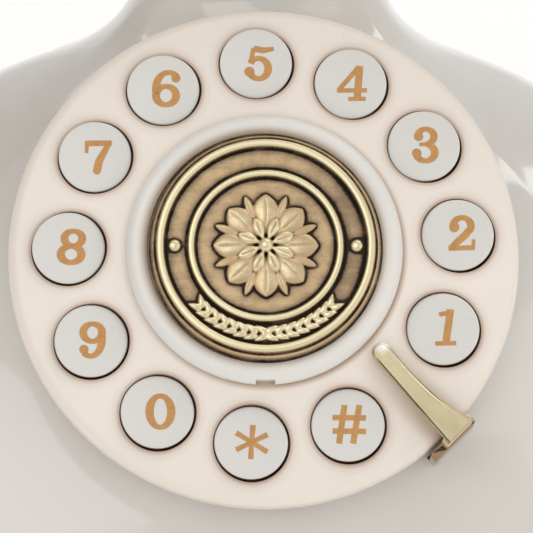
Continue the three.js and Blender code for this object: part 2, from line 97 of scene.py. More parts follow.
# The body's outline at each height: height, half width, front, back, squareness.
BODY = [
    [3.5, 96, -86, 86, 5],
    [5, 97.6, -87.6, 87.6, 5],
    [13, 98, -88, 88, 5],
    [15.6, 96.6, -86.4, 86.6, 5],
    [17.4, 93.4, -83, 83.4, 4.8],
    [22, 90.8, -78.8, 80.6, 4.5],
    [32, 87.6, -71.4, 75, 4.1],
    [48, 83.4, -59.6, 67, 3.7],
    [62, 77, -48.4, 58.4, 3.3],
    [72, 70, -40, 51, 3],
    [78.6, 62.4, -34.4, 45.8, 2.8],
    [83.2, 54, -29.6, 41.8, 2.6],
    [87, 45, -25.4, 38.6, 2.5],
    [90.6, 38, -21.4, 36, 2.4],
    [95, 32, -16.6, 33.4, 2.3],
    [100.5, 27.2, -11.6, 30.6, 2.2],
    [109, 22.8, -8, 28, 2.2],
    [120, 20.2, -6.6, 26.6, 2.2],
    [134, 19.6, -6.2, 26.2, 2.2],
    [144, 22, -8.2, 28.2, 2.3],
    [150, 27, -12, 32, 2.4],
]

# ---------------------------------------------------------------- placing
def move(x, y, z):
    return Matrix.Translation((x, y, z))


def turn(degrees, axis):
    return Matrix.Rotation(math.radians(degrees), 4, axis)


DIAL = move(*DIAL_AT) @ turn(90 - DIAL_FACE_UP, "X")


def cup_frame(side):
    return move(side * CUP_X, NECK_Y, CUP_TOP_Z) @ turn(180 + side * CUP_TILT, "Y")


def key_frame(index):
    around = turn(KEY_START + index * KEY_PITCH, "Z")
    place = around @ Vector((KEY_CIRCLE_R, 0, 0))
    return DIAL @ move(*place)


# ---------------------------------------------------------------- mesh building
def sharpen(mesh, degrees):
    mesh.shade_smooth()
    mesh.set_sharp_from_angle(angle=math.radians(degrees))


def make(name, points, faces, place=None, sharp=35):
    """A mesh object from points in millimetres, in the local space that place puts into the frame."""
    mesh = bpy.data.meshes.new(name)
    mesh.from_pydata((np.asarray(points, float) * MM).tolist(), [], [list(map(int, f)) for f in faces])
    mesh.validate()
    sharpen(mesh, sharp)
    piece = bpy.data.objects.new(name, mesh)
    bpy.context.scene.collection.objects.link(piece)
    if place is not None:
        matrix = place.copy()
        matrix.translation = matrix.translation * MM
        piece.matrix_world = matrix
    return piece


def fix_normals(piece):
    work = bmesh.new()
    work.from_mesh(piece.data)
    bmesh.ops.recalc_face_normals(work, faces=work.faces)
    work.to_mesh(piece.data)
    work.free()


def solid(name, data, place=None, sharp=35):
    """A closed mesh object from points and faces, with its faces turned outwards."""
    piece = make(name, *data, place, sharp)
    fix_normals(piece)
    return piece


def grid_faces(rows, sides, closed_rows=False):
    faces = []
    for j in range(rows if closed_rows else rows - 1):
        k = (j + 1) % rows
        for i in range(sides):
            n = (i + 1) % sides
            faces.append((j * sides + i, j * sides + n, k * sides + n, k * sides + i))
    return faces


def fillet(points, radius, steps=5):
    """Rounds each inner corner of a line of (x, y) points. radius is one number, or one for each corner."""
    points = [np.array(p, float) for p in points]
    radii = radius if isinstance(radius, (list, tuple)) else [radius] * (len(points) - 2)
    out = [points[0]]
    for before, corner, after, r in zip(points, points[1:], points[2:], radii):
        a, b = before - corner, after - corner
        la, lb = np.linalg.norm(a), np.linalg.norm(b)
        cut = min(r, 0.45 * la, 0.45 * lb)
        if cut < 1e-3:
            out.append(corner)
            continue
        start, end = corner + a / la * cut, corner + b / lb * cut
        for t in np.linspace(0, 1, steps):
            out.append((1 - t) ** 2 * start + 2 * t * (1 - t) * corner + t**2 * end)
    out.append(points[-1])
    return out


def lathe_data(profile, sides):
    """Points and faces of a profile turned round Z. It runs from axis to axis, or closes on itself."""
    profile = [tuple(p) for p in profile]
    on_axis = profile[0][0] < 1e-6
    rings = profile[1:-1] if on_axis else profile
    angles = np.linspace(0, 2 * math.pi, sides, endpoint=False)
    points = [(r * math.cos(a), r * math.sin(a), z) for r, z in rings for a in angles]
    faces = grid_faces(len(rings), sides, closed_rows=not on_axis)
    if on_axis:
        start, end = len(points), len(points) + 1
        points += [(0, 0, profile[0][1]), (0, 0, profile[-1][1])]
        last = (len(rings) - 1) * sides
        for i in range(sides):
            n = (i + 1) % sides
            faces.append((start, n, i))
            faces.append((end, last + i, last + n))
    return points, faces


def lathe(name, profile, sides=128, place=None, sharp=35):
    return solid(name, lathe_data(profile, sides), place, sharp)


def prism_data(outline, low, high, place=None):
    """Points and faces of a flat outline raised from low to high."""
    count = len(outline)
    points = [(x, y, low) for x, y in outline] + [(x, y, high) for x, y in outline]
    faces = [(i, (i + 1) % count, (i + 1) % count + count, i + count) for i in range(count)]
    faces += [tuple(range(count))[::-1], tuple(range(count, 2 * count))]
    if place is not None:
        points = [tuple(place @ Vector(p)) for p in points]
    return points, faces


def box_data(low, high, place=None):
    outline = [(low[0], low[1]), (high[0], low[1]), (high[0], high[1]), (low[0], high[1])]
    return prism_data(outline, low[2], high[2], place)


def together(parts):
    points, faces = [], []
    for some_points, some_faces in parts:
        faces += [tuple(i + len(points) for i in f) for f in some_faces]
        points += [tuple(p) for p in some_points]
    return points, faces


def placed(data, place):
    points, faces = data
    return [tuple(place @ Vector(p)) for p in points], faces


def apply_modifiers(piece):
    bpy.context.view_layer.update()
    evaluated = piece.evaluated_get(bpy.context.evaluated_depsgraph_get())
    mesh = bpy.data.meshes.new_from_object(evaluated)
    old = piece.data
    piece.modifiers.clear()
    piece.data = mesh
    bpy.data.meshes.remove(old)


def combine(piece, data, operation="DIFFERENCE", place=None, sharp=35):
    """Cuts, joins or crosses a piece with closed shapes given as points and faces."""
    other = solid("tool", data, place)
    change = piece.modifiers.new("combine", "BOOLEAN")
    change.operation = operation
    change.solver = "EXACT"
    change.object = other
    apply_modifiers(piece)
    bpy.data.meshes.remove(other.data)
    sharpen(piece.data, sharp)


def settle(piece):
    """Moves a tilted piece's place into its mesh, so that its box is its true size."""
    piece.data.transform(piece.matrix_world)
    piece.matrix_world = Matrix.Identity(4)


def mesh_data(piece):
    """Takes a finished tool away and gives back its points, in the frame, and faces."""
    points = [tuple(piece.matrix_world @ v.co / MM) for v in piece.data.vertices]
    faces = [tuple(f.vertices) for f in piece.data.polygons]
    bpy.data.meshes.remove(piece.data)
    return points, faces


def bevel(piece, width, segments=3, angle=35):
    change = piece.modifiers.new("bevel", "BEVEL")
    change.width = width * MM
    change.segments = segments
    change.limit_method = "ANGLE"
    change.angle_limit = math.radians(angle)
    change.harden_normals = True
    apply_modifiers(piece)


# ---------------------------------------------------------------- materials
class Nodes:
    """Short names for building a material's node tree."""

    def __init__(self, name):
        self.material = bpy.data.materials.new(name)
        self.material.use_nodes = True
        self.tree = self.material.node_tree
        self.shader = self.tree.nodes["Principled BSDF"]
        self.place = self.tree.nodes.new("ShaderNodeTexCoord").outputs["Object"]

    def link(self, value, socket):
        if isinstance(value, bpy.types.NodeSocket):
            self.tree.links.new(value, socket)
        else:
            socket.default_value = value

    def math(self, operation, a, b=0.0, clamp=False):
        node = self.tree.nodes.new("ShaderNodeMath")
        node.operation = operation
        node.use_clamp = clamp
        self.link(a, node.inputs[0])
        self.link(b, node.inputs[1])
        return node.outputs[0]

    def plus(self, a, b, clamp=False):
        return self.math("ADD", a, b, clamp)

    def minus(self, a, b):
        return self.math("SUBTRACT", a, b)

    def times(self, a, b):
        return self.math("MULTIPLY", a, b)

    def axes(self):
        """X, Y and Z in the piece's own space."""
        split = self.tree.nodes.new("ShaderNodeSeparateXYZ")
        self.link(self.place, split.inputs[0])
        return [split.outputs[axis] for axis in "XYZ"]

    def noise(self, scale, detail=3.0, roughness=0.55, at=None):
        node = self.tree.nodes.new("ShaderNodeTexNoise")
        self.link(self.place if at is None else at, node.inputs["Vector"])
        node.inputs["Scale"].default_value = scale
        node.inputs["Detail"].default_value = detail
        node.inputs["Roughness"].default_value = roughness
        return node.outputs["Fac"]

    def stretch(self, x, y, z, at=None):
        node = self.tree.nodes.new("ShaderNodeMapping")
        self.link(self.place if at is None else at, node.inputs["Vector"])
        node.inputs["Scale"].default_value = (x, y, z)
        return node.outputs["Vector"]

    def span(self, value, from_low, from_high, to_low=0.0, to_high=1.0, smooth=False):
        node = self.tree.nodes.new("ShaderNodeMapRange")
        node.interpolation_type = "SMOOTHSTEP" if smooth else "LINEAR"
        for i, item in enumerate((value, from_low, from_high, to_low, to_high)):
            self.link(item, node.inputs[i])
        return node.outputs["Result"]

    def mix(self, amount, a, b):
        node = self.tree.nodes.new("ShaderNodeMix")
        node.data_type = "RGBA"
        self.link(amount, node.inputs["Factor"])
        for value, socket in ((a, node.inputs["A"]), (b, node.inputs["B"])):
            self.link(value if isinstance(value, bpy.types.NodeSocket) else (*value, 1), socket)
        return node.outputs["Result"]

    def bump(self, height, strength, distance_mm, normal=None):
        node = self.tree.nodes.new("ShaderNodeBump")
        node.inputs["Strength"].default_value = strength
        node.inputs["Distance"].default_value = distance_mm * MM
        self.link(height, node.inputs["Height"])
        if normal is not None:
            self.link(normal, node.inputs["Normal"])
        return node.outputs["Normal"]

    def attribute(self, name):
        node = self.tree.nodes.new("ShaderNodeAttribute")
        node.attribute_name = name
        return node.outputs["Fac"]

    def pointiness(self):
        return self.tree.nodes.new("ShaderNodeNewGeometry").outputs["Pointiness"]

    def finish(self, **values):
        names = {
            "colour": "Base Color",
            "roughness": "Roughness",
            "metallic": "Metallic",
            "normal": "Normal",
            "coat": "Coat Weight",
            "coat_roughness": "Coat Roughness",
            "specular": "Specular IOR Level",
            "subsurface": "Subsurface Weight",
            "glow": "Emission Strength",
        }
        for key, value in values.items():
            if key == "colour" and not isinstance(value, bpy.types.NodeSocket):
                value = (*value, 1)
            self.link(value, self.shader.inputs[names[key]])
        return self.material


def rgb(code):
    """A colour written as in a paint chart, 0xRRGGBB, as linear light."""
    parts = [(code >> shift & 255) / 255 for shift in (16, 8, 0)]
    return tuple(c / 12.92 if c <= 0.04045 else ((c + 0.055) / 1.055) ** 2.4 for c in parts)


def shade(colour, factor):
    return tuple(c * factor for c in colour)


def moulded_plastic(name, code, roughness, texture=0.03, mottle=0.97, coat=0.0):
    """Moulded plastic: faint flow marks in the colour, uneven gloss and a very fine skin."""
    n = Nodes(name)
    colour = rgb(code)
    cloud = n.noise(34, 4)
    fine = n.noise(1900, 2)
    specks = n.span(n.noise(420, 3, 0.7), 0.66, 0.78)
    base = n.mix(n.span(cloud, 0.35, 0.65), shade(colour, mottle), colour)
    base = n.mix(n.times(specks, 0.12), base, shade(colour, 0.72))
    gloss = n.span(n.noise(90, 5, 0.6), 0.3, 0.7, roughness * 0.85, roughness * 1.2)
    waves = n.bump(n.noise(55, 2), 0.10, 0.12)
    skin = n.bump(fine, texture, 0.05, waves)
    return n.finish(colour=base, roughness=gloss, normal=skin, coat=coat, coat_roughness=0.06)


def plated_metal(name, code, roughness, tarnish_code, brush=0.06):
    """Plated metal: brighter on its edges, faintly tarnished in the hollows, with fine polishing marks."""
    n = Nodes(name)
    colour, tarnish = rgb(code), rgb(tarnish_code)
    edge = n.span(n.pointiness(), 0.52, 0.60)
    hollow = n.span(n.pointiness(), 0.485, 0.44)
    cloud = n.span(n.noise(70, 5, 0.6), 0.42, 0.72)
    worn = n.plus(n.times(cloud, 0.35), n.times(hollow, 0.5), clamp=True)
    base = n.mix(worn, colour, tarnish)
    base = n.mix(n.times(edge, 0.6), base, shade(colour, 1.25))
    marks = n.noise(900, 3, 0.6, n.stretch(0.12, 1, 1))
    gloss = n.span(n.plus(n.times(marks, 0.5), n.times(cloud, 0.5)),
                   0.3, 0.8, roughness * 0.8, roughness * 1.35)
    return n.finish(colour=base, roughness=gloss, metallic=1.0, normal=n.bump(marks, brush, 0.03))


def shaded_gold():
    """The stop's leg: gold that falls into brown shade towards the body."""
    n = Nodes("shaded_gold")
    cloud = n.noise(260, 4, 0.6)
    depth = n.plus(n.axes()[2], n.times(cloud, 1.2 * MM))
    base = n.mix(n.span(depth, 0.5 * MM, -2.2 * MM, smooth=True), rgb(0xE3D2A6), rgb(0x9A7A58))
    base = n.mix(n.span(depth, -2.8 * MM, -8.5 * MM, smooth=True), base, rgb(0xCDC4B8))
    return n.finish(colour=base, roughness=n.span(cloud, 0.3, 0.7, 0.35, 0.5), metallic=0.1,
                    normal=n.bump(n.noise(1200, 3), 0.08, 0.03))


def stop_gold():
    """The stop's blade: plated gold, with a painted dark shade line along its straight edge and a painted
    white highlight on its rounded tip.
    """
    n = Nodes("stop_gold")
    x, y = n.axes()[:2]
    cloud = n.span(n.noise(70, 5, 0.6), 0.42, 0.72)
    base = n.mix(n.times(cloud, 0.35), rgb(0xD4C7A3), rgb(0xB2A07A))
    # Painted shade: a thin dark line along the straight, lower-left edge of the blade.
    edge = n.plus(y, n.times(x, 1.8 / 20.9))
    away = n.math("ABSOLUTE", n.minus(edge, 2.25 * MM))
    dark = n.times(n.span(away, 0.13 * MM, 0.06 * MM), n.span(x, 29.0 * MM, 30.5 * MM))
    base = n.mix(n.times(dark, 0.85), base, rgb(0x33261A))
    # Painted highlight: white, and less metallic, on the upper side of the rounded tip.
    tip = n.times(n.span(x, 30.6 * MM, 28.6 * MM, smooth=True), n.span(y, 0.4 * MM, 2.2 * MM))
    base = n.mix(tip, base, rgb(0xFFFFFF))
    marks = n.noise(900, 3, 0.6, n.stretch(0.12, 1, 1))
    gloss = n.span(marks, 0.3, 0.8, 0.18, 0.3)
    metal = n.span(tip, 0, 1, 1, 0.6)
    return n.finish(colour=base, roughness=gloss, metallic=metal, normal=n.bump(marks, 0.06, 0.03))


def rubber(name, code):
    n = Nodes(name)
    base = n.mix(n.span(n.noise(160, 4), 0.4, 0.7), rgb(code), shade(rgb(code), 1.9))
    return n.finish(colour=base, roughness=n.span(n.noise(300, 3), 0.3, 0.7, 0.6, 0.85),
                    normal=n.bump(n.noise(1400, 3), 0.25, 0.1))


def circuit_board(name, code):
    """Green board with lighter tracks under the mask."""
    n = Nodes(name)
    cells = n.tree.nodes.new("ShaderNodeTexVoronoi")
    cells.feature = "DISTANCE_TO_EDGE"
    cells.distance = "MANHATTAN"
    n.link(n.place, cells.inputs["Vector"])
    cells.inputs["Scale"].default_value = 260
    track = n.span(cells.outputs["Distance"], 0.06, 0.09, 1, 0)
    base = n.mix(n.times(track, 0.5), rgb(code), shade(rgb(code), 1.8))
    gloss = n.span(n.noise(200), 0.3, 0.7, 0.3, 0.45)
    return n.finish(colour=base, roughness=gloss, normal=n.bump(track, 0.2, 0.05))


def cast_iron(name, code):
    n = Nodes(name)
    rust = n.span(n.noise(120, 6, 0.65), 0.55, 0.75)
    base = n.mix(rust, rgb(code), rgb(0x5A4638))
    return n.finish(colour=base, metallic=0.7, roughness=n.span(rust, 0, 1, 0.5, 0.8),
                    normal=n.bump(n.noise(700, 5, 0.7), 0.5, 0.25))


def across_dial(n):
    """x, y and the distance from the dial's axis, for a piece modelled in the dial's space."""
    x, y = n.axes()[:2]
    radius = n.math("POWER", n.plus(n.times(x, x), n.times(y, y)), 0.5)
    return x, y, radius


def down_right(n, x, y, radius):
    """1 on the lower right of the dial, away from the key light, and -1 on its upper left."""
    return n.math("DIVIDE", n.minus(x, y), n.times(radius, math.sqrt(2)))


def key_hole_shade(n, x, y, radius, inner, outer):
    """1 at the rim of a key hole, 0 from outer on. Worked out from the angle round the dial's axis."""
    pitch = math.radians(KEY_PITCH)
    angle = n.minus(n.math("ARCTAN2", y, x), math.radians(KEY_START))
    turned = n.plus(angle, pitch / 2 + 2 * math.pi)
    turned = n.minus(n.math("MODULO", turned, 2 * math.pi), pitch / 2)
    nearest = n.math("MINIMUM", n.math("ROUND", n.math("DIVIDE", turned, pitch)), 11.0)
    off = n.minus(turned, n.times(nearest, pitch))
    dx = n.minus(n.times(radius, n.math("COSINE", off)), KEY_CIRCLE_R * MM)
    dy = n.times(radius, n.math("SINE", off))
    away = n.math("POWER", n.plus(n.times(dx, dx), n.times(dy, dy)), 0.5)
    return n.span(away, inner * MM, outer * MM, 1, 0, smooth=True)


def cream_plate():
    """Cream lacquer with painted brown shade round and down in the key holes, along the white ring's foot
    and beside the finger stop's blade.
    """
    n = Nodes("cream_plate")
    x, y, radius = across_dial(n)
    colour, brown = rgb(0xEBE1D6), rgb(0xA07A52)
    base = n.mix(n.span(n.noise(40, 4), 0.35, 0.65), shade(colour, 0.98), colour)
    # Painted shade: brown along the white ring's foot, stronger on the lower right, away from the key light.
    painted_ring_foot_shade = n.span(radius, (BEZEL_R - 0.1) * MM, (BEZEL_R + 1.3) * MM, 1, 0, smooth=True)
    side = n.span(down_right(n, x, y, radius), -0.7, 0.9, 0.15, 0.75)
    base = n.mix(n.times(painted_ring_foot_shade, side), base, brown)
    # Painted shade: a soft brown halo round each key hole, and dark brown shade down in its mouth.
    base = n.mix(n.times(key_hole_shade(n, x, y, radius, 7.0, 9.6), 0.2), base, brown)
    base = n.mix(n.times(key_hole_shade(n, x, y, radius, 7.1, 8.1), 0.55), base, brown)
    base = n.mix(key_hole_shade(n, x, y, radius, 7.0, 7.25), base, rgb(0x5A3822))
    # Painted shadow of the finger stop: brown shade on the plate either side of the blade, growing towards
    # its outer end.
    along = n.times(n.minus(x, y), math.sqrt(0.5))
    across = n.times(n.plus(x, y), math.sqrt(0.5))
    outwards = n.span(along, 27 * MM, 48 * MM, 0.1, 0.5, smooth=True)
    beside = n.span(n.math("ABSOLUTE", n.minus(across, 0.4 * MM)), 5.6 * MM, 2.2 * MM, smooth=True)
    base = n.mix(n.times(n.times(outwards, beside), n.span(along, 26 * MM, 30 * MM)), base, brown)
    gloss = n.span(n.noise(120, 5, 0.6), 0.3, 0.7, 0.27, 0.38)
    skin = n.bump(n.noise(1500, 3), 0.06, 0.05, n.bump(n.noise(60, 2), 0.08, 0.1))
    return n.finish(colour=base, roughness=gloss, normal=skin)


def white_ring():
    """White plastic with painted brown shade and a painted reflection of the medallion's brass on its inner
    slope, and painted shade in its notch.
    """
    n = Nodes("white_ring")
    x, y, radius = across_dial(n)
    colour = rgb(0xE3E0DA)
    base = n.mix(n.span(n.noise(34, 4), 0.35, 0.65), shade(colour, 0.97), colour)
    # Painted shade and painted reflection of the brass: brown on the inner slope by the medallion, stronger
    # on the upper left.
    near = n.span(radius, 21.9 * MM, 24.0 * MM, 1, 0, smooth=True)
    side = n.span(down_right(n, x, y, radius), -0.8, 0.8, 0.8, 0.35)
    base = n.mix(n.times(near, side), base, rgb(0xA98A68))
    # Painted shade in the notch at the bottom of the ring.
    notch_side = n.span(n.math("ABSOLUTE", x), 1.6 * MM, 1.9 * MM, 1, 0)
    painted_notch_shade = n.times(n.span(y, -25.05 * MM, -25.25 * MM), notch_side)
    base = n.mix(painted_notch_shade, base, rgb(0x7A5F4C))
    gloss = n.span(n.noise(90, 5, 0.6), 0.3, 0.7, 0.25, 0.36)
    return n.finish(colour=base, roughness=gloss, normal=n.bump(n.noise(1900, 2), 0.03, 0.05))


def white_key():
    """White keycap whose side, down in the hole, is in brown shade."""
    n = Nodes("white_key")
    colour = rgb(0xD8D5D0)
    base = n.mix(n.span(n.noise(60, 4), 0.35, 0.65), shade(colour, 0.985), colour)
    base = n.mix(n.span(n.axes()[2], -0.05 * MM, -0.55 * MM, smooth=True), base, rgb(0x6A4428))
    gloss = n.span(n.noise(90, 5, 0.6), 0.3, 0.7, 0.25, 0.36)
    return n.finish(colour=base, roughness=gloss, normal=n.bump(n.noise(1900, 2), 0.03, 0.05))


def antique_brass():
    """Cast brass: dark patina in the hollows, a brushed bronze field, pale polished tops, and the painted
    shade and highlight that the relief map carries.
    """
    n = Nodes("antique_brass")
    relief = n.attribute("relief")
    brushed = n.noise(900, 4, 0.7, n.stretch(0.10, 1, 1))
    blotch = n.noise(190, 5, 0.6)
    speckle = n.noise(1500, 3, 0.7)
    level = n.plus(relief, n.times(n.minus(blotch, 0.5), 0.42))
    level = n.plus(level, n.times(n.minus(brushed, 0.5), 0.24))
    level = n.plus(level, n.times(n.minus(speckle, 0.5), 0.16), clamp=True)
    base = n.mix(n.span(level, 0.0, 0.22, smooth=True), rgb(0x2E241D), rgb(0x8A755D))
    base = n.mix(n.span(level, 0.2, 0.55, smooth=True), base, rgb(0xC4A983))
    base = n.mix(n.span(level, 0.6, 0.9, smooth=True), base, rgb(0xE0D3AD))
    gloss = n.span(level, 0.1, 0.9, 0.55, 0.30)
    skin = n.bump(brushed, 0.16, 0.05, n.bump(speckle, 0.12, 0.04))
    return n.finish(colour=base, roughness=gloss, metallic=0.85, normal=skin)


def printed_tan():
    n = Nodes("printed_tan")
    colour = rgb(0xBF8A4B)
    base = n.mix(n.span(n.noise(900, 4, 0.6), 0.35, 0.65), shade(colour, 0.9), shade(colour, 1.08))
    return n.finish(colour=base, roughness=0.42, normal=n.bump(n.noise(2500, 2), 0.12, 0.02))


def floor_material():
    n = Nodes("pale_floor")
    base = n.mix(n.noise(3, 3), rgb(0xFDFDFC), rgb(0xFFFFFF))
    return n.finish(colour=base, roughness=n.span(n.noise(8), 0.3, 0.7, 0.55, 0.65), glow=0.07)


M = {
    "ivory_housing": moulded_plastic("ivory_housing", 0xD4CFC8, 0.16, 0.02, 0.975, coat=0.75),
    "white_ring": white_ring(),
    "white_key": white_key(),
    "cream_plate": cream_plate(),
    "antique_brass": antique_brass(),
    "pale_gold": plated_metal("pale_gold", 0xF3E6C6, 0.22, 0xC9B384),
    "steel": plated_metal("steel", 0xBFC1C4, 0.30, 0x8A8A86, 0.1),
    "foot_rubber": rubber("foot_rubber", 0x1C1B1A),
    "silicone": rubber("silicone", 0x9AA0A3),
    "circuit_board": circuit_board("circuit_board", 0x2F6B45),
    "ballast_iron": cast_iron("ballast_iron", 0x55565A),
    "black_plastic": moulded_plastic("black_plastic", 0x1A1A1C, 0.42, 0.08, 0.85),
    "printed_tan": printed_tan(),
    "shaded_gold": shaded_gold(),
    "stop_gold": stop_gold(),
}


def finish_piece(piece, slot, body, *nodes, look=None):
    """Gives a piece its slot's material and its body. look names another material than the slot's."""
    piece.data.materials.clear()
    piece.data.materials.append(M[look or slot])
    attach(piece, body)
    if nodes:
        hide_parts(*nodes)


# ---------------------------------------------------------------- body
def smooth_table(rows, heights):
    """The rows' other columns at these heights, on a smooth curve that never overshoots."""
    rows = np.array(rows, float)
    x, y = rows[:, 0], rows[:, 1:]
    step = np.diff(x)
    slope = np.diff(y, axis=0) / step[:, None]
    tangent = np.zeros_like(y)
    tangent[0], tangent[-1] = slope[0], slope[-1]
    w1, w2 = (2 * step[1:] + step[:-1])[:, None], (step[1:] + 2 * step[:-1])[:, None]
    same = slope[:-1] * slope[1:] > 0
    safe = np.where(same, slope[:-1], 1), np.where(same, slope[1:], 1)
    tangent[1:-1] = np.where(same, (w1 + w2) / (w1 / safe[0] + w2 / safe[1]), 0)
    k = np.clip(np.searchsorted(x, heights, "right") - 1, 0, len(x) - 2)
    t = ((heights - x[k]) / step[k])[:, None]
    h = step[k][:, None]
    return (
        (2 * t**3 - 3 * t**2 + 1) * y[k]
        + (t**3 - 2 * t**2 + t) * h * tangent[k]
        + (-2 * t**3 + 3 * t**2) * y[k + 1]
        + (t**3 - t**2) * h * tangent[k + 1]
    )


def body_outline():
    """Close rows of height, half width, front, back and squareness, smoothed above the plinth."""
    heights = np.concatenate([
        np.linspace(3.5, 5, 4)[:-1], np.linspace(5, 13, 5)[:-1], np.linspace(13, 19, 14)[:-1],
        np.linspace(19, 80, 90)[:-1], np.linspace(80, 102, 70)[:-1], np.linspace(102, 150, 70),
    ])
    rows = np.column_stack([heights, smooth_table(BODY, heights)])
    free = np.clip((rows[:, 0] - 19) / 6, 0, 1)[:, None] * np.clip((149.9 - rows[:, 0]) / 4, 0, 1)[:, None]
    for _ in range(160):
        middle = (rows[:-2] + 2 * rows[1:-1] + rows[2:]) / 4
        rows[1:-1] += (middle - rows[1:-1]) * free[1:-1]
    return rows


def outline_ring(row, inset, sides):
    z, half, front, back, square = row
    t = np.linspace(0, 2 * math.pi, sides, endpoint=False)
    c, s = np.cos(t), np.sin(t)
    power = 2 / square
    x = (half - inset) * np.sign(c) * np.abs(c) ** power
    y = (front + back) / 2 + ((back - front) / 2 - inset) * np.sign(s) * np.abs(s) ** power
    return np.column_stack([x, y, np.full(sides, z)])


BOSS = [(47.4, SEAT_Z), (48.4, -10), (51, -17), (56, -27), (62, -36)]
BOSS_BLEND = 9.0


def boss_distance(points):
    """How far points lie outside the cone that carries the dial."""
    inverse = np.array(DIAL.inverted())
    local = points @ inverse[:3, :3].T + inverse[:3, 3]
    r = np.hypot(local[..., 0], local[..., 1])
    z = local[..., 2]
    far = np.maximum(z - SEAT_Z, BOSS[-1][1] - z)
    for (r0, z0), (r1, z1) in zip(BOSS, BOSS[1:]):
        normal = np.array([z0 - z1, r1 - r0])
        normal = normal / np.hypot(*normal)
        far = np.maximum(far, (r - r0) * normal[0] + (z - z0) * normal[1])
    return far


def swell(rings):
    """Moves the body's front outwards so that it flows into the dial's cone."""
    middle = np.stack([np.zeros(len(rings)), rings[:, :, 1].mean(axis=1), rings[:, 0, 2]], 1)[:, None, :]
    away = rings - middle
    length = np.linalg.norm(away, axis=2, keepdims=True)
    away = away / length
    inside = np.zeros(rings.shape[:2])

    def field(push):
        point = rings + away * push[..., None]
        a, b = push * 0.8, boss_distance(point)
        near = np.clip(BOSS_BLEND - np.abs(a - b), 0, None)
        return np.minimum(a, b) - near**2 / (4 * BOSS_BLEND)

    steps = np.linspace(0, 60, 121)
    for push in steps:
        inside = np.where(field(np.full(rings.shape[:2], push)) < 0, push, inside)
    low, high = inside, inside + steps[1]
    for _ in range(18):
        best = (low + high) / 2
        below = field(best) < 0
        low, high = np.where(below, best, low), np.where(below, high, best)
    return rings + away * low[..., None]


def make_body():
    rows = body_outline()
    outer = swell(np.stack([outline_ring(row, 0, BODY_SIDES) for row in rows]))
    inner_rows = rows[::4] if len(rows) % 4 == 1 else np.vstack([rows[::4], rows[-1:]])
    inner = np.stack([outline_ring(row, WALL, BODY_SIDES) for row in inner_rows])[::-1]
    rings = np.concatenate([outer, inner])
    faces = grid_faces(len(rings), BODY_SIDES, closed_rows=True)
    body = solid("body", (rings.reshape(-1, 3), faces), sharp=50)
    seat = lathe_data([(0, SEAT_Z), (SEAT_R, SEAT_Z), (SEAT_R, 34), (0, 34)], 160)
    opening = lathe_data([(0, -42), (OPENING_R, -42), (OPENING_R, 0), (0, 0)], 160)
    leg = box_data((48, -4.8, -12.9), (50, 5.2, 6), turn(STOP_DIRECTION, "Z"))
    for tool in (seat, opening, leg):
        combine(body, placed(tool, DIAL), sharp=40)
    slots = together([
        box_data((-36.8, 60, 18.7), (-23.2, 95, 30.3)),
        box_data((25, 66, 22.2), (39, 95, 26.8)),
        box_data((-105, -5.8, 19.7), (-70, 5.8, 29.3)),
    ])
    combine(body, slots, sharp=40)
    finish_piece(body, "ivory_housing", "phone", "body_shell")


# ---------------------------------------------------------------- dial
def dome(r):
    return 3 * (1 - (r / KEY_CIRCLE_R) ** 2)


def make_plate():
    top = [(r, dome(r)) for r in np.linspace(46.6, 21.4, 20)]
    skirt = [(44.9, -3.2), (44.9, -5.7), (47.5, -5.7), (PLATE_R, -5.2), (PLATE_R, -3.1), (46.6, dome(46.6))]
    rim = fillet([*skirt, top[1]], [0.3, 0.3, 0.3, 0.8, 0.9])
    profile = rim[:-1] + top[1:] + [(20.6, 1.9), (15, 1.9), (15, -3.2)]
    plate = lathe("dial_cover", profile, 192, DIAL, sharp=40)
    shaft = lathe_data([(0, -8), (KEY_HOLE_R, -8), (KEY_HOLE_R, 1.5), (0, 1.5)], 72)
    edge = [(7.0, -0.6), (7.12, -0.3), (7.3, 0.0), (7.6, 0.2), (8.9, 1.5)]
    mouth = lathe_data([(0, -0.6), *edge, (0, 1.5)], 72)
    tilt = turn(math.degrees(math.atan(6 / KEY_CIRCLE_R)), "Y")
    turns = [turn(KEY_START + i * KEY_PITCH, "Z") for i in range(len(KEY_NAMES))]
    spots = [around @ move(KEY_CIRCLE_R, 0, 0) for around in turns]
    combine(plate, together([placed(shaft, spot) for spot in spots]), place=DIAL, sharp=40)
    combine(plate, together([placed(mouth, spot @ tilt) for spot in spots]), place=DIAL, sharp=40)
    finish_piece(plate, "cream_plate", "phone", "dial_plate")


def make_dial_wall():
    """A thin wall in the body's opening, so that no key is seen under the plate's rim from behind."""
    near, far = DIAL_WALL_R
    wall = lathe("dial_wall", [(near, -24), (far, -24), (far, -4.9), (near, -4.9)], 192, DIAL, sharp=40)
    finish_piece(wall, "ivory_housing", "phone")


def stroke(points, widths):
    """A flat ribbon along points, as wide as widths says at each."""
    points = np.array(points, float)
    widths = np.broadcast_to(np.asarray(widths, float), len(points))
    ahead = np.gradient(points, axis=0)
    ahead /= np.linalg.norm(ahead, axis=1)[:, None]
    side = np.column_stack([-ahead[:, 1], ahead[:, 0]]) * widths[:, None] / 2
    both = np.concatenate([points + side, points - side])
    n = len(points)
    return both, [(i, i + 1, n + i + 1, n + i) for i in range(n - 1)]


def line(points, widths, count=10):
    points = np.array(points, float)
    t = np.linspace(0, len(points) - 1, count)
    k = np.arange(len(points))
    widths = np.broadcast_to(np.asarray(widths, float), len(points))
    path = np.column_stack([np.interp(t, k, points[:, 0]), np.interp(t, k, points[:, 1])])
    return stroke(path, np.interp(t, k, widths))


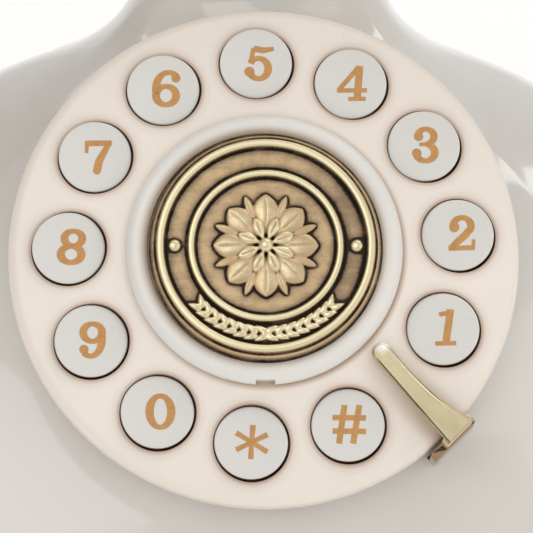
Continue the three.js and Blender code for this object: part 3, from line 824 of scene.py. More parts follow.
def arc(cx, cy, rx, ry, start, end, thick=1.4, thin=0.75, count=36):
    """Part of an oval drawn with a broad pen: thick at its sides, thin at top and bottom."""
    a = np.radians(np.linspace(start, end, count))
    path = np.column_stack([cx + rx * np.cos(a), cy + ry * np.sin(a)])
    return stroke(path, thin + (thick - thin) * np.abs(np.cos(a)) ** 1.5)


def ball(x, y, r, count=20):
    a = np.linspace(0, 2 * math.pi, count, endpoint=False)
    return np.column_stack([x + r * np.cos(a), y + r * np.sin(a)]), [tuple(range(count))]


def loop(cx, cy, rx, ry, thick=1.5, thin=0.95, count=56):
    """A whole oval drawn with the same pen."""
    a = np.linspace(0, 2 * math.pi, count, endpoint=False)
    out = np.column_stack([ry * np.cos(a), rx * np.sin(a)])
    out /= np.linalg.norm(out, axis=1)[:, None]
    half = (thin + (thick - thin) * np.abs(np.cos(a)) ** 1.5) / 2
    path = np.column_stack([cx + rx * np.cos(a), cy + ry * np.sin(a)])
    both = np.concatenate([path + out * half[:, None], path - out * half[:, None]])
    return both, [(i, (i + 1) % count, count + (i + 1) % count, count + i) for i in range(count)]


FIGURES = {
    "1": [
        line([(-1.2, 2.75), (0.2, 3.0), (1.3, 3.6)], [0.85, 0.9, 0.5]),
        line([(1.0, 3.75), (0.0, -2.9)], 1.42),
        line([(-2.04, -2.98), (2.0, -2.88)], 0.85),
    ],
    "2": [
        ball(-1.12, 1.45, 1.0),
        arc(0.42, 1.75, 1.7, 1.62, 195, -42, 1.45, 1.0),
        line([(1.8, 0.95), (0.9, -0.2), (-0.5, -1.4), (-1.8, -2.65)], [1.35, 1.45, 1.35, 1.1], 14),
        line([(-2.3, -2.75), (2.7, -2.6)], [0.95, 0.95]),
        line([(2.45, -3.0), (2.6, -0.95)], 0.72),
    ],
    "3": [
        ball(-1.5, 1.8, 0.9),
        arc(-0.05, 1.85, 1.55, 1.48, 190, -88, 1.45, 0.95),
        arc(-0.2, -1.4, 1.82, 1.65, 88, -190, 1.5, 1.0),
        ball(-1.9, -1.5, 0.93),
        line([(-1.35, 0.22), (0.5, 0.32)], 0.72),
    ],
    "4": [
        line([(1.34, 3.6), (0.8, -2.9)], 1.42),
        line([(1.15, 3.3), (-2.8, -1.3)], [1.0, 0.9]),
        line([(-3.15, -1.42), (2.7, -1.35)], 0.88),
        line([(-0.95, -3.12), (2.45, -3.05)], 0.8),
    ],
    "5": [
        line([(-0.9, 3.0), (0.9, 2.6), (3.0, 2.95)], [1.2, 1.25, 0.75], 14),
        line([(-0.9, 3.1), (-1.6, -0.05)], [0.95, 0.75]),
        arc(0.0, -1.08, 1.88, 2.05, 146, -170, 1.5, 1.0),
        ball(-1.78, -1.72, 1.0),
    ],
    "6": [
        loop(0.05, -1.2, 1.95, 1.85, 1.55, 1.0),
        arc(0.55, 0.1, 2.45, 3.35, 50, 200, 1.55, 1.0),
        ball(1.98, 2.3, 0.88),
    ],
    "7": [
        line([(-2.3, 2.6), (2.7, 2.65)], 1.12),
        line([(-2.0, 3.1), (-2.15, 0.65)], [0.85, 0.68]),
        line([(2.4, 3.0), (1.35, 1.0), (0.3, -1.0), (-0.1, -2.9)], [0.9, 1.25, 1.5, 1.55], 16),
        ball(-0.1, -2.85, 0.77),
    ],
    "8": [
        loop(0.42, 1.8, 1.72, 1.46),
        loop(0.0, -1.35, 1.98, 1.6, 1.6, 1.0),
    ],
    "9": [
        loop(-0.2, 1.55, 1.8, 1.72),
        arc(-0.55, 0.2, 2.15, 3.25, -128, 15, 1.5, 1.0),
        ball(-1.85, -1.75, 0.9),
    ],
    "0": [
        loop(0.06, 0, 2.07, 3.05, 1.6, 0.95),
    ],
    "star": [
        line([(-0.12, 3.35), (-0.4, 0.0), (-0.6, -3.25)], [1.1, 0.85, 1.05], 11),
        line([(-3.35, 1.85), (-0.4, 0.0), (2.6, -1.9)], [1.05, 0.8, 1.05], 11),
        line([(-3.35, -1.45), (-0.4, 0.0), (2.65, 1.5)], [1.05, 0.8, 1.05], 11),
    ],
    "hash": [
        line([(-1.12, 3.8), (-2.25, -3.7)], 1.15),
        line([(1.72, 3.8), (0.45, -3.7)], 1.15),
        line([(-3.45, 1.36), (2.95, 1.28)], 1.05),
        line([(-3.45, -1.25), (2.95, -1.35)], 1.05),
    ],
}


def cap_top(r):
    """The crowned top of a key."""
    return 0.42 - 0.006 * r**2


def make_keys():
    crown = [(r, cap_top(r)) for r in np.linspace(6.1, 0.6, 8)]
    low, high = KEY_FLANGE_Z
    side = fillet([(KEY_FLANGE_R, high), (KEY_R, high), (KEY_R, cap_top(KEY_R)), crown[0]], [0.15, 0.75], 7)
    skirt = [(0, -6.5), (2.4, -6.5), (2.4, low), (KEY_FLANGE_R, low)]
    profile = skirt + side[:-1] + crown + [(0, cap_top(0))]
    for i, name in enumerate(KEY_NAMES):
        body = f"key_{name}_body"
        place = key_frame(i) @ move(*KEY_OFFSET)
        cap = lathe(f"keycap_{name}", profile, 72, place, sharp=50)
        finish_piece(cap, "white_key", body, f"key_{name}")
        flat, faces = together(FIGURES[name])
        flat = np.array(flat) * FIGURE_SCALE + FIGURE_SHIFT
        tops = cap_top(np.hypot(flat[:, 0], flat[:, 1])) + FIGURE_LIFT
        figure = make(f"figure_{name}", np.column_stack([flat, tops]), faces, place, sharp=180)
        for face in figure.data.polygons:
            if face.normal.z < 0:
                face.flip()
        finish_piece(figure, "white_key", body, look="printed_tan")


def make_bezel():
    foot = dome(BEZEL_R) + 0.3
    # Radius and height above the foot, round the ring's section and back to its start.
    section = [(22, 1.6), (22, -0.2), (25.5, -0.2), (BEZEL_R, 0.1), (25.75, 0.9)]
    section += [(24.9, 1.85), (23.8, 2.15), (22.7, 2.05), (22, 1.6)]
    outline = [(r, foot + z) for r, z in section]
    profile = fillet(outline, [0.2, 0.2, 0.4, 0.5, 0.8, 0.8, 0.5], 5)[:-1]
    ring = lathe("bezel", profile, 160, DIAL, sharp=50)
    combine(ring, box_data((-1.7, -27.5, 0), (1.7, -25.1, 3.4)), place=DIAL, sharp=50)
    finish_piece(ring, "white_ring", "phone", "bezel_ring")


def smoothstep(low, high, x):
    t = np.clip((x - low) / (high - low), 0, 1)
    return t * t * (3 - 2 * t)


def ridge(r, centre, half, height):
    """A round moulding with a flattened top."""
    return height * np.sqrt(np.clip(1 - ((r - centre) / half) ** 4, 0, None))


def petals(x, y, count, shift, near, far, half, height):
    """Rounded petals about the centre, widest past their middle, each with a vein."""
    out = np.zeros_like(x)
    for k in range(count):
        a = shift + 2 * math.pi * k / count
        along, across = x * math.cos(a) + y * math.sin(a), -x * math.sin(a) + y * math.cos(a)
        t = np.clip((along - near) / (far - near), 0, 1)
        width = half * np.sin(math.pi * t**1.45) ** 0.75 + 1e-6
        pillow = np.clip(1 - (across / width) ** 2, 0, None) ** 0.4 * ((t > 0.01) & (t < 0.99))
        vein = 0.22 * np.exp(-((across / 0.2) ** 2)) * smoothstep(0.2, 0.4, t) * smoothstep(0.95, 0.75, t)
        out = np.maximum(out, height * (pillow - vein * (pillow > 0)) * (0.6 + 0.4 * np.sin(math.pi * t)))
    return out


def bead(x, y, radius, degrees, half, height):
    a = math.radians(degrees)
    away = (x - radius * math.cos(a)) ** 2 + (y - radius * math.sin(a)) ** 2
    return height * np.clip(1 - away / half**2, 0, None) ** 0.4


def laurel(x, y, radius, pitch, count):
    """Two leafy branches that start together at the bottom and run up on either side."""
    out = np.zeros_like(x)
    for way in (-1, 1):
        for k in range(count):
            a = math.radians(270 + way * (3.2 + pitch * k))
            for lean in (-1, 1):
                px = x - (radius + 0.8 * lean) * math.cos(a)
                py = y - (radius + 0.8 * lean) * math.sin(a)
                b = a + way * (math.pi / 2 - lean * 0.5)
                along, across = px * math.cos(b) + py * math.sin(b), -px * math.sin(b) + py * math.cos(b)
                half = 0.62 * np.clip(1.1 - 0.35 * along, 0.4, 1.5)
                leaf = 1 - (along / 1.45) ** 2 - (across / half) ** 2
                out = np.maximum(out, 0.6 * np.clip(leaf, 0, None) ** 0.45)
    for at in (-1.6, 0, 1.6):
        out = np.maximum(out, bead(x, y, radius, 270 + at, 0.42, 0.6))
    return out


def soften(field, passes):
    for _ in range(passes):
        field = (np.roll(field, 1, 0) + 2 * field + np.roll(field, -1, 0)) / 4
        field = (np.roll(field, 1, 1) + 2 * field + np.roll(field, -1, 1)) / 4
    return field


RELIEF_REACH = 22.4
RELIEF_COUNT = 560


def relief_maps():
    """The medallion's height and brightness on a square grid: a rosette in two rings, beads and a laurel.
    The brightness is patina and polished tops, with painted shade on the right of the outer field and down
    the outer drop, and a painted highlight on the edge bead.
    """
    line_up = np.linspace(-RELIEF_REACH, RELIEF_REACH, RELIEF_COUNT)
    x, y = np.meshgrid(line_up, line_up)
    r = np.hypot(x, y)
    raised = ridge(r, OUTER_MOULDING_R, 0.82, 0.95)
    raised = np.maximum(raised, ridge(r, INNER_MOULDING_R, 0.72, 0.8))
    emblem = petals(x, y, 8, math.pi / 8, 4.4, 10.3, 0.82, 0.6)
    emblem = np.maximum(emblem, petals(x, y, 8, 0, 2.1, 9.9, 2.42, 0.85))
    emblem = np.maximum(emblem, petals(x, y, 8, math.pi / 8, 0.7, 5.7, 1.42, 1.25))
    emblem = np.maximum(emblem, 1.7 * np.clip(1 - (r / 1.55) ** 2, 0, None) ** 0.4)
    raised = np.maximum(raised, emblem)
    raised = np.maximum(raised, laurel(x, y, 16.8, 6.5, 8))
    for degrees in (0, 180):
        raised = np.maximum(raised, bead(x, y, 16.95, degrees, 1.15, 0.65))
    mask = smoothstep(0.05, 0.3, raised)
    edge = ridge(r, 21.15, 0.3, 0.4)
    groove = 0.3 * np.exp(-(((r - 20.68) / 0.2) ** 2)) + 0.22 * np.exp(-(((r - 18.7) / 0.2) ** 2))
    groove += 0.22 * np.exp(-(((r - 14.75) / 0.2) ** 2)) + 0.22 * np.exp(-(((r - 13.05) / 0.2) ** 2))
    drop = 1.3 * smoothstep(20.5, 21.7, r)
    height = 4.95 + 0.12 * smoothstep(14.5, 18.0, r) + raised + edge - groove - drop
    halo = np.clip(soften(mask, 44) - mask, 0, None)
    wide = np.clip(soften(mask, 260) - mask, 0, None)
    crease = np.clip(soften(raised, 16) - raised, 0, None)
    slopes = np.hypot(*np.gradient(soften(raised, 2))) * (RELIEF_COUNT - 1) / (2 * RELIEF_REACH)
    steep = smoothstep(0.7, 2.6, slopes) * smoothstep(12.6, 12.2, r)
    below = smoothstep(-9.5, -12.5, y) * smoothstep(14.4, 15.2, r) * smoothstep(19.2, 18.4, r) * (1 - mask)
    level = 0.47 + 0.45 * mask - 1.2 * halo - 0.55 * wide - 2.6 * crease
    level = level - 1.1 * groove - 0.28 * below - 0.42 * steep
    level -= (0.14 * smoothstep(11.6, 13.2, r) * (r < 14) + 0.16 * smoothstep(17.0, 18.8, r) * (r < 19.3)
              + 0.14 * smoothstep(16.2, 14.7, r) * (r > 13.9)) * (1 - mask)
    level -= 0.32 * smoothstep(1.3, 0.3, emblem) * (emblem > 0.05)
    # Painted shade: the outer field darkens towards the right.
    level -= 0.16 * smoothstep(4, 17, x) * smoothstep(14.4, 15.2, r) * (1 - mask)
    # Painted shade down the outer drop, and a painted highlight on the edge bead that grows towards the
    # lower right.
    outer = smoothstep(20.3, 20.6, r)
    painted_rim_highlight = 0.65 + 0.35 * smoothstep(-8, 22, x - y)
    level = level * (1 - outer) + outer * (0.06 + 0.6 * (edge > 0.15) * painted_rim_highlight)
    return soften(height, 2), np.clip(soften(level, 1), 0, 1)


def sampled(field, x, y):
    scale = (RELIEF_COUNT - 1) / (2 * RELIEF_REACH)
    u, v = (y + RELIEF_REACH) * scale, (x + RELIEF_REACH) * scale
    i, j = u.astype(int), v.astype(int)
    f, g = u - i, v - j
    low = (1 - g) * field[i, j] + g * field[i, j + 1]
    high = (1 - g) * field[i + 1, j] + g * field[i + 1, j + 1]
    return (1 - f) * low + f * high


def make_medallion():
    rings, sides = 250, 720
    r = np.linspace(0.05, MEDALLION_R, rings)[:, None] * np.ones((1, sides))
    angle = np.linspace(0, 2 * math.pi, sides, endpoint=False)[None, :] * np.ones((rings, 1))
    x, y = r * np.cos(angle), r * np.sin(angle)
    height, polish_and_painted_light = relief_maps()
    z, level = sampled(height, x, y), sampled(polish_and_painted_light, x, y)
    top = np.stack([x, y, z], 2).reshape(-1, 3)
    underside = [(0, -1), (14.7, -1), (14.7, 3.3), (MEDALLION_R, 3.3), (MEDALLION_R, 3.35), (0, 3.4)]
    low = lathe_data(underside, sides)[0]
    below = np.array(low[: 4 * sides]).reshape(4, sides, 3)[::-1].reshape(-1, 3)
    points = np.concatenate([top, below, [(0, 0, z[0].mean()), (0, 0, -1)]])
    faces = grid_faces(rings + 4, sides)
    end = (rings + 4) * sides
    faces += [(end, (i + 1) % sides, i) for i in range(sides)]
    last = (rings + 3) * sides
    faces += [(end + 1, last + i, last + (i + 1) % sides) for i in range(sides)]
    disc = solid("cast_medallion", (points, faces), DIAL @ move(0.15, 0, 0), sharp=60)
    values = np.concatenate([level.reshape(-1), np.zeros(4 * sides + 2)])
    values[end] = level[0].mean()
    disc.data.attributes.new("relief", "FLOAT", "POINT").data.foreach_set("value", values.astype(np.float32))
    finish_piece(disc, "antique_brass", "phone", "medallion")


def bezier(a, b, c, d, count=24):
    t = np.linspace(0, 1, count)[:, None]
    a, b, c, d = (np.array(p, float) for p in (a, b, c, d))
    return (1 - t) ** 3 * a + 3 * t * (1 - t) ** 2 * b + 3 * t**2 * (1 - t) * c + t**3 * d


def stop_outline():
    """Points round the blade, and how far its top edge is drawn in from each."""
    tip, end = STOP_TIP, STOP_END
    turned = np.radians(np.linspace(90, 270, 24))
    nose = [(tip + 1.85 * math.cos(a), 1.28 + 1.85 * math.sin(a)) for a in turned]
    low = [(x, -0.5 - 1.8 * (x - tip) / (end - tip)) for x in np.linspace(tip, end, 14)[1:]]
    high = bezier((end, 4.4), (44.5, 1.9), (37, 2.25), (tip + 0.4, 3.09), 30).tolist()
    insets = [0.75 - 0.4 * k / 23 for k in range(24)] + [0.35] * 13
    insets += [min(0.35 + 0.08 * k, 0.55) for k in range(30)]
    return np.array(nose + low + high), np.array(insets)


def make_finger_stop():
    outline, insets = stop_outline()
    before, after = outline - np.roll(outline, 1, 0), np.roll(outline, -1, 0) - outline
    before /= np.linalg.norm(before, axis=1)[:, None]
    after /= np.linalg.norm(after, axis=1)[:, None]
    inward = np.column_stack([-before[:, 1] - after[:, 1], before[:, 0] + after[:, 0]])
    inward /= (1 + (before * after).sum(axis=1))[:, None]
    levels = [(2.2, 0.1), (2.3, 0.0), (2.75, 0.0), (2.95, 0.12), (3.3, 0.8), (3.42, 0.95), (3.5, 1.15)]
    rings = []
    for z, share in levels:
        ring = outline + inward * (insets * share)[:, None]
        rings.append(np.column_stack([ring, np.full(len(ring), z)]))
    count = len(outline)
    faces = grid_faces(len(levels), count)
    faces += [tuple(range(count))[::-1], tuple(range((len(levels) - 1) * count, len(levels) * count))]
    place = DIAL @ turn(STOP_DIRECTION, "Z")
    stop = solid("stop_blade", (np.concatenate(rings), faces), place, sharp=30)
    stop.data.polygons[len(faces) - 1].use_smooth = False
    finish_piece(stop, "pale_gold", "phone", "finger_stop", look="stop_gold")
    leg = solid("stop_leg", box_data((48.6, -2.2, -13), (50.1, 4.3, 2.6)), place)
    combine(leg, box_data((48.6, -4.9, -13), (50.2, 5.3, -2.5)), "UNION", place)
    bevel(leg, 0.3, 4, 40)
    finish_piece(leg, "pale_gold", "phone", "finger_stop", look="shaded_gold")


# ---------------------------------------------------------------- handset
HANDLE = [(-90, 158), (-82, 167), (-66, 175.5), (-44, 180), (-20, 182), (0, 182.4)]
HANDLE_SIZE = [(17, 12), (16.5, 12), (13.6, 11.2), (12, 11), (11.6, 10.8), (11.5, 10.8)]


def smooth_line(points, count):
    """A curve through the points, evenly spread over them (Catmull-Rom)."""
    points = np.array(points, float)
    padded = np.vstack([2 * points[0] - points[1], points, 2 * points[-1] - points[-2]])
    t = np.linspace(0, len(points) - 1, count)
    k = np.minimum(t.astype(int), len(points) - 2)
    f = (t - k)[:, None]
    a, b, c, d = (padded[k + i] for i in range(4))
    return 0.5 * (2 * b + (c - a) * f + (2 * a - 5 * b + 4 * c - d) * f**2 + (3 * b - a - 3 * c + d) * f**3)


def handle_data():
    route = HANDLE + [(-x, z) for x, z in HANDLE[-2::-1]]
    sizes = HANDLE_SIZE + HANDLE_SIZE[-2::-1]
    count, sides = 120, 64
    path, size = smooth_line(route, count), smooth_line(sizes, count)
    ahead = np.gradient(path, axis=0)
    ahead /= np.linalg.norm(ahead, axis=1)[:, None]
    a = np.linspace(0, 2 * math.pi, sides, endpoint=False)
    c, s = np.sign(np.cos(a)) * np.abs(np.cos(a)) ** 0.94, np.sign(np.sin(a)) * np.abs(np.sin(a)) ** 0.94
    rings = []
    for (x, z), (dx, dz), (deep, tall) in zip(path, ahead, size):
        rings.append(np.column_stack([x - dz * tall * s, NECK_Y + deep * c, z + dx * tall * s]))
    points = np.concatenate(rings + [rings[0].mean(axis=0)[None], rings[-1].mean(axis=0)[None]])
    faces = grid_faces(count, sides)
    first, last = count * sides, (count - 1) * sides
    faces += [(first, (i + 1) % sides, i) for i in range(sides)]
    faces += [(first + 1, last + i, last + (i + 1) % sides) for i in range(sides)]
    return points, faces


def make_grip():
    grip = solid("handset_shell", handle_data())
    outline = [(0, -2), (10, -1), (18, 3), (22.4, 8), (24, 13), (24, 17.5), (0, 17.5)]
    cup = fillet(outline, [3, 4, 3, 3, 0.2], 6)
    for side in (-1, 1):
        combine(grip, lathe_data(cup, 96), "UNION", cup_frame(side))
    change = grip.modifiers.new("skin", "REMESH")
    change.mode = "VOXEL"
    change.voxel_size = SKIN_VOXEL * MM
    change.use_smooth_shade = True
    change = grip.modifiers.new("soften", "SMOOTH")
    change.factor = 0.5
    change.iterations = 22
    apply_modifiers(grip)
    below = lathe_data([(0, CUP_DEPTH), (40, CUP_DEPTH), (40, 60), (0, 60)], 48)
    bowl = lathe_data([(0, 7.6), (20.6, 8.4), (20.6, 30), (0, 30)], 96)
    for side in (-1, 1):
        combine(grip, below, place=cup_frame(side))
        combine(grip, bowl, place=cup_frame(side))
    combine(grip, box_data((12, -5.3, 6.8), (30, 5.3, 17)), place=cup_frame(-1), sharp=40)
    finish_piece(grip, "ivory_housing", "handset", "handset_grip")


# Each end: side, name, how far the cap's middle rises, and its rings of sound holes as (count, radius).
ENDS = [(1, "earpiece", -1.5, [(1, 0), (6, 6)]), (-1, "mouthpiece", 2.5, [(1, 0), (8, 8)])]


def make_ends():
    low = CUP_DEPTH + 3.5
    section = [(20.9, 17.5), (20.9, 16.3), (25.2, 16.3), (25.2, 16.9), (25.8, 17.3)]
    section += [(25.8, 18.3), (25.2, 18.7), (25.2, 19.2), (20.9, 19.2), (20.9, 17.5)]
    trim = fillet(section, [0.1, 0.15, 0.2, 0.3, 0.3, 0.2, 0.15, 0.1], 4)[:-1]
    for side, name, rise, rows in ENDS:
        ring = lathe(f"{name}_ring", trim, 128, cup_frame(side), sharp=50)
        settle(ring)
        finish_piece(ring, "pale_gold", "handset", f"{name}_trim")
        edge = [(20.9, low), (25.4, low), (26.2, low + 1.2), (26.2, low + 3.4), (25.9, low + 4.2)]
        edge += [(26, low + 6), (24, low + 8.6), (20.6, low + 9.3), (19.9, low + 8.8)]
        face = [(18.6, low + 8.9 + rise * 0.4), (9, low + 9 + rise * 0.93), (0.01, low + 9 + rise)]
        outer = fillet(edge + face, [0.3, 0.8, 0.5, 0.5, 1.2, 1.8, 0.5, 0.5, 2, 2], 6)
        inner = [(0.01, low + 6.6 + rise), (14, low + 6.6 + rise * 0.7), (20.9, low + 5), (20.9, low)]
        cap = lathe(f"{name}_cover", outer + inner[:-1], 128, cup_frame(side), sharp=50)
        spots = [turn(360 / n * i, "Z") @ move(r, 0, 0) for n, r in rows for i in range(n)]
        holes = [disc_data(1.3, 18, 45, at=spot) for spot in spots]
        combine(cap, together(holes), place=cup_frame(side), sharp=40)
        settle(cap)
        finish_piece(cap, "ivory_housing", "handset", f"{name}_cap")


def disc_data(r, low, high, sides=32, at=None):
    data = lathe_data([(0, low), (r, low), (r, high), (0, high)], sides)
    return placed(data, at) if at is not None else data


# ---------------------------------------------------------------- cradle and hook
def bar_outline(half, deep, steps=24):
    right = np.radians(np.linspace(-90, 90, steps))
    points = [(half - deep + deep * math.cos(a), NECK_Y + deep * math.sin(a)) for a in right]
    return points + [(-x, 2 * NECK_Y - y) for x, y in points]


def make_saddle():
    saddle = solid("saddle_bar", prism_data(bar_outline(54, 13), 152.6, 162.4))
    combine(saddle, prism_data(bar_outline(49.6, 6.5), 150, 160.2))
    bevel(saddle, 1.6, 5, 50)
    groove = prism_data(bar_outline(56, 15), 157.1, 157.7)
    keep = prism_data(bar_outline(53.6, 12.6), 150, 170)
    band = solid("tool_band", groove)
    combine(band, keep)
    combine(saddle, mesh_data(band), sharp=40)
    holes = [disc_data(CRADLE_PIN_HOLE_R, 158, 170, at=move(x, NECK_Y, 0)) for x in (-CRADLE_X, CRADLE_X)]
    combine(saddle, together(holes), sharp=40)
    finish_piece(saddle, "pale_gold", "phone", "saddle")


def make_collar():
    ring = outline_ring([0, *BODY[-1][1:]], -1.2, 160)[:, :2]
    collar = solid("neck_collar", prism_data([tuple(p) for p in ring], 150.3, 152.3))
    combine(collar, prism_data(bar_outline(53, 12), 150.3, 152.3), "UNION")
    bevel(collar, 0.5, 3, 50)
    combine(collar, box_data((-6, NECK_Y - 6, 149), (6, NECK_Y + 6, 154)), sharp=40)
    finish_piece(collar, "pale_gold", "phone", "saddle_cover")


def circle_part(radius, x, y, start, end, count):
    """Points along part of a circle about (x, y), from one angle in degrees to another."""
    angles = np.radians(np.linspace(start, end, count))
    return [(x + radius * math.cos(a), y + radius * math.sin(a)) for a in angles]


def make_forks():
    centre = VALLEY_Z + FORK_R
    outer, tip = FORK_R + 4.6, centre + 9
    low = circle_part(outer, 0, centre, 219.6, 320.4, 36)
    right = bezier(low[-1], (outer - 1.2, centre - 6), (outer + 0.4, centre), (outer + 2.2, tip), 16)[1:]
    knob = circle_part(2.2, outer + 0.2, tip, 8, 176, 16)
    valley = (FORK_R, centre + 3), (FORK_R, centre)
    inside = bezier((outer - 2.1, tip), (FORK_R + 1.4, centre + 6), *valley, 12)[1:]
    half = [tuple(p) for p in low[18:]] + [tuple(p) for p in right] + knob + [tuple(p) for p in inside]
    half += circle_part(FORK_R, 0, centre, -4, -90, 28)
    outline = half + [(-x, z) for x, z in half[::-1]]
    pairs = zip(outline, outline[1:] + outline[:1])
    clean = [p for p, q in pairs if math.hypot(p[0] - q[0], p[1] - q[1]) > 0.02]
    for name, x in (("left", -CRADLE_X), ("right", CRADLE_X)):
        stand = move(x, NECK_Y, 0) @ turn(90, "Z") @ turn(90, "X")
        fork = solid(f"cradle_fork_{name}", placed(prism_data(clean, -4, 4), stand))
        bevel(fork, 1.3, 5, 50)
        profile = [(0, 162.7), (7, 162.7), (7, 164.2), (5.6, 165.6), (5.2, 168.4), (0, 168.4)]
        foot = fillet(profile, [0.4, 0.6, 0.8, 0.2], 5)
        pad = solid("tool_pad", placed(lathe_data(foot, 64), move(x, NECK_Y, 0)))
        combine(pad, placed(disc_data(FORK_R, -12, 12, 96), move(x, NECK_Y, centre) @ turn(90, "Y")))
        combine(fork, mesh_data(pad), "UNION", sharp=40)
        combine(fork, box_data((x - 9, -30, 140), (x + 9, 60, 162.7)), sharp=40)
        combine(fork, disc_data(CRADLE_PIN_HOLE_R, 150, 175, at=move(x, NECK_Y, 0)), sharp=40)
        finish_piece(fork, "pale_gold", "phone", f"fork_{name}")


def make_hook():
    bar = solid("hook_bar_shown", prism_data(bar_outline(48.6, 5), 153, 155.4))
    bevel(bar, 0.4, 3, 50)
    pin = fillet([(0, 154), (3, 154), (3, 168.1), (0, 168.1)], [0.1, 0.8], 6)
    pins = [placed(lathe_data(pin, 48), move(x, NECK_Y, 0)) for x in (-CRADLE_X, CRADLE_X)]
    stem = fillet([(0, 136), (2.6, 136), (2.6, 154), (0, 154)], [0.8, 0.1], 5)
    pins.append(placed(lathe_data(stem, 48), move(0, NECK_Y, 0)))
    combine(bar, together(pins), "UNION", sharp=40)
    finish_piece(bar, "steel", "hook", "hook_bar")


# ---------------------------------------------------------------- underside and sockets
FEET = {"front_left": (-68, -66), "front_right": (68, -66), "rear_left": (-68, 66), "rear_right": (68, 66)}
POSTS = [(-80, -40), (80, -40), (-80, 44), (80, 44)]
SPEAKER_AT = (-40, 30)
SOCKET_Z = 24.5


def make_base():
    ring = outline_ring([0, *BODY[0][1:]], 3.3, 160)[:, :2]
    plate = solid("base_cover", prism_data([tuple(p) for p in ring], 4, 6.6))
    bevel(plate, 0.5, 3, 50)
    cuts = [disc_data(2, 3, 8, at=move(x, y, 0)) for x, y in POSTS]
    cuts += [disc_data(1.6, 3, 8, at=move(*SPEAKER_AT, 0))]
    speaker = move(*SPEAKER_AT, 0)
    cuts += [disc_data(1.6, 3, 8, at=speaker @ turn(60 * i, "Z") @ move(8, 0, 0)) for i in range(6)]
    combine(plate, together(cuts), sharp=40)
    combine(plate, together([disc_data(3.6, 3, 5, at=move(x, y, 0)) for x, y in POSTS]), sharp=40)
    finish_piece(plate, "ivory_housing", "phone", "base_plate")
    for place, (x, y) in FEET.items():
        outline = [(0, 0.25), (4.6, 0.25), (4.9, 0), (7, 0), (8, 1), (8, 3.7), (0, 3.7)]
        profile = fillet(outline, [0.1, 0.1, 0.4, 0.5, 0.3], 4)
        foot = lathe(f"rubber_foot_{place}", profile, 72, move(x, y, 0), sharp=50)
        finish_piece(foot, "foot_rubber", "phone", f"foot_{place}")
    for i, (x, y) in enumerate(POSTS):
        outline = [(0, 4.2), (3.3, 4.2), (3.3, 4.5), (1.5, 4.9), (1.5, 20), (0, 21)]
        profile = fillet(outline, [0.25, 0.1, 0.1, 0.1], 4)
        screw = lathe(f"screw_{i + 1}", profile, 48, move(x, y, 0), sharp=40)
        cross = box_data((-1.5, -0.3, 4), (1.5, 0.3, 5))
        for degrees in (12, 102):
            combine(screw, cross, place=move(x, y, 0) @ turn(20 * i + degrees, "Z"), sharp=40)
        finish_piece(screw, "steel", "phone", f"base_screw_{i + 1}")


def make_socket(name, node, body, outer, mouth, latch, wires, place):
    """A modular socket: a block with its mouth and latch slot cut out, and four sprung contacts inside."""
    socket = solid(name, box_data(*outer), place)
    bevel(socket, 0.35, 3, 50)
    combine(socket, box_data(*mouth), place=place, sharp=40)
    combine(socket, box_data(*latch), place=place, sharp=40)
    finish_piece(socket, "black_plastic", body, node)
    contacts = solid(f"{name}_contacts", together([box_data(*wire) for wire in wires]), place)
    finish_piece(contacts, "pale_gold", body)


def make_sockets():
    z = SOCKET_Z
    shifts = [CONTACT_PITCH * i for i in range(4)]
    wires = [((-31.8 + shift, 69.5, z + 1.6), (-31.4 + shift, 78, z + 2.0)) for shift in shifts]
    block = (-36.5, 62, z - 5.5), (-23.5, 79.6, z + 5.5)
    mouth = (-34.9, 68, z - 3.4), (-25.1, 90, z + 3.2)
    latch = (-31.8, 68, z - 4.6), (-28.2, 90, z)
    make_socket("line_socket", "line_jack", "phone", block, mouth, latch, wires, move(0, 0, 0))
    wires = [((-89, -1.8 + shift, z + 1.4), (-81, -1.4 + shift, z + 1.8)) for shift in shifts]
    block = (-90.4, -5.5, z - 4.5), (-74, 5.5, z + 4.5)
    mouth = (-95, -3.9, z - 2.9), (-80, 3.9, z + 2.9)
    latch = (-95, -1.4, z - 3.8), (-80, 1.4, z)
    make_socket("cord_socket", "cord_jack", "phone", block, mouth, latch, wires, move(0, 0, 0))
    wires = [((14.5, -1.8 + shift, 12.9), (22, -1.4 + shift, 13.3)) for shift in shifts]
    block = (12.3, -5, 7.1), (23.4, 5, 15.7)
    mouth = (13.6, -3.9, 8.4), (26, 3.9, 14.4)
    latch = (13.6, -1.4, 7.8), (26, 1.4, 9)
    make_socket("handset_socket", "handset_jack", "handset", block, mouth, latch, wires, cup_frame(-1))
    knob = solid("volume_knob", box_data((29, 71.9, z - 2), (35, 79.6, z + 2)))
    bevel(knob, 0.4, 3, 50)
    ribs = []
    for shift, reach in ((-1.9, 80.0), (0, 80.4), (1.9, 80.0)):
        ribs.append(box_data((31.55 + shift, 78, z - 1.8), (32.45 + shift, reach, z + 1.8)))
    combine(knob, together(ribs), "UNION", sharp=40)
    finish_piece(knob, "black_plastic", "ringer_volume", "ringer_knob")


# ---------------------------------------------------------------- carried-over pieces
def finish_cad_nodes():
    slots = {entry["node"]: entry["material_slot"] for entry in frame["record"]["subparts"]}
    for name, node in frame["nodes"].items():
        node.data.materials.clear()
        node.data.materials.append(M[slots[name]])


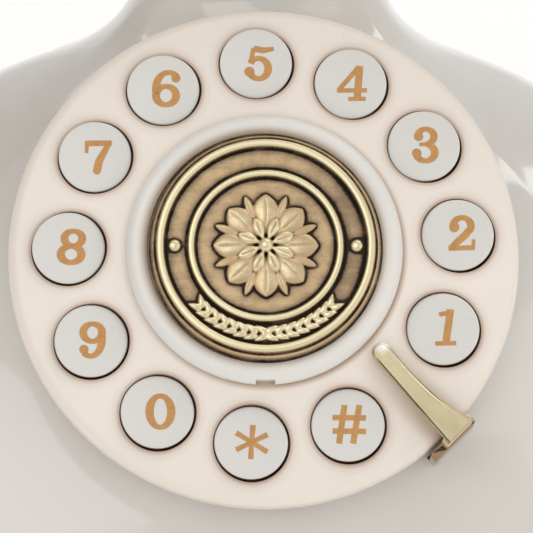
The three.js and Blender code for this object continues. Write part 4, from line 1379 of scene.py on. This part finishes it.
# ---------------------------------------------------------------- camera, floor and light
def make_camera():
    """Long lens, looking at the dial from about 13 degrees below its axis and slightly from the left."""
    azimuth, elevation = math.radians(CAMERA_AZIMUTH), math.radians(CAMERA_ELEVATION)
    roll = math.radians(CAMERA_ROLL)
    back = Vector((math.sin(azimuth) * math.cos(elevation), -math.cos(azimuth) * math.cos(elevation),
                   math.sin(elevation)))
    right = Vector((math.cos(azimuth), math.sin(azimuth), 0))
    up = back.cross(right)
    right, up = (math.cos(roll) * right + math.sin(roll) * up, math.cos(roll) * up - math.sin(roll) * right)
    data = bpy.data.cameras.new("camera")
    data.lens = CAMERA_LENS
    data.sensor_width = 36
    data.clip_start, data.clip_end = 0.01, 20
    camera = bpy.data.objects.new("camera", data)
    matrix = Matrix((right, up, back)).transposed().to_4x4()
    aside, above = CAMERA_SHIFT
    matrix.translation = (Vector(DIAL_AT) + CAMERA_DISTANCE * back + aside * right + above * up) * MM
    camera.matrix_world = matrix
    bpy.context.scene.collection.objects.link(camera)
    bpy.context.scene.camera = camera


# Each light: name, place, target and size in metres, and power in watts.
LIGHTS = [
    ("key", (-0.42, -0.8, 0.95), (0, -0.03, 0.08), (0.85, 0.85), 2.9),
    ("fill", (0.8, -0.6, 0.5), (0, 0, 0.1), (0.7, 1.0), 1.2),
    ("top", (0.3, 0.3, 1.1), (0, 0, 0.1), (0.8, 0.5), 1.9),
    ("strip_right", (0.6, 0.42, 0.75), (0.03, -0.03, 0.08), (0.2, 0.6), 0.9),
    ("strip_left", (-0.55, 0.42, 0.75), (0, -0.05, 0.08), (0.1, 0.4), 0.3),
]


def area_light(name, place, target, size, power):
    data = bpy.data.lights.new(name, "AREA")
    data.shape = "RECTANGLE"
    data.size, data.size_y = size
    data.energy = power
    light = bpy.data.objects.new(name, data)
    place, target = Vector(place), Vector(target)
    facing = (place - target).to_track_quat("Z", "Y").to_matrix().to_4x4()
    light.matrix_world = Matrix.Translation(place) @ facing
    bpy.context.scene.collection.objects.link(light)


def make_stage():
    corners = [(x * FLOOR_REACH, y * FLOOR_REACH, 0) for x, y in ((-1, -1), (1, -1), (1, 1), (-1, 1))]
    floor = make("floor", corners, [(0, 1, 2, 3)])
    floor.data.materials.append(floor_material())
    world = bpy.data.worlds.new("studio")
    world.use_nodes = True
    tree = world.node_tree
    split = tree.nodes.new("ShaderNodeSeparateXYZ")
    tree.links.new(tree.nodes.new("ShaderNodeTexCoord").outputs["Generated"], split.inputs[0])
    spans = []
    for axis, low, high in (("X", -0.1, -0.65), ("Y", -0.3, 0.3)):
        span = tree.nodes.new("ShaderNodeMapRange")
        span.interpolation_type = "SMOOTHSTEP"
        tree.links.new(split.outputs[axis], span.inputs["Value"])
        span.inputs["From Min"].default_value = low
        span.inputs["From Max"].default_value = high
        spans.append(span.outputs["Result"])
    both = tree.nodes.new("ShaderNodeMath")
    both.operation = "MULTIPLY"
    for i, span in enumerate(spans):
        tree.links.new(span, both.inputs[i])
    mix = tree.nodes.new("ShaderNodeMix")
    mix.data_type = "RGBA"
    tree.links.new(both.outputs[0], mix.inputs["Factor"])
    mix.inputs["A"].default_value = (1, 0.995, 0.985, 1)
    mix.inputs["B"].default_value = (0.40, 0.36, 0.33, 1)
    tree.links.new(mix.outputs["Result"], tree.nodes["Background"].inputs["Color"])
    tree.nodes["Background"].inputs["Strength"].default_value = 0.71
    bpy.context.scene.world = world
    for light in LIGHTS:
        area_light(*light)
    bpy.context.scene.view_settings.view_transform = "Standard"


make_camera()
finish_cad_nodes()
make_body()
make_plate()
make_dial_wall()
make_keys()
make_bezel()
make_medallion()
make_finger_stop()
make_grip()
make_ends()
make_saddle()
make_collar()
make_forks()
make_hook()
make_base()
make_sockets()
make_stage()
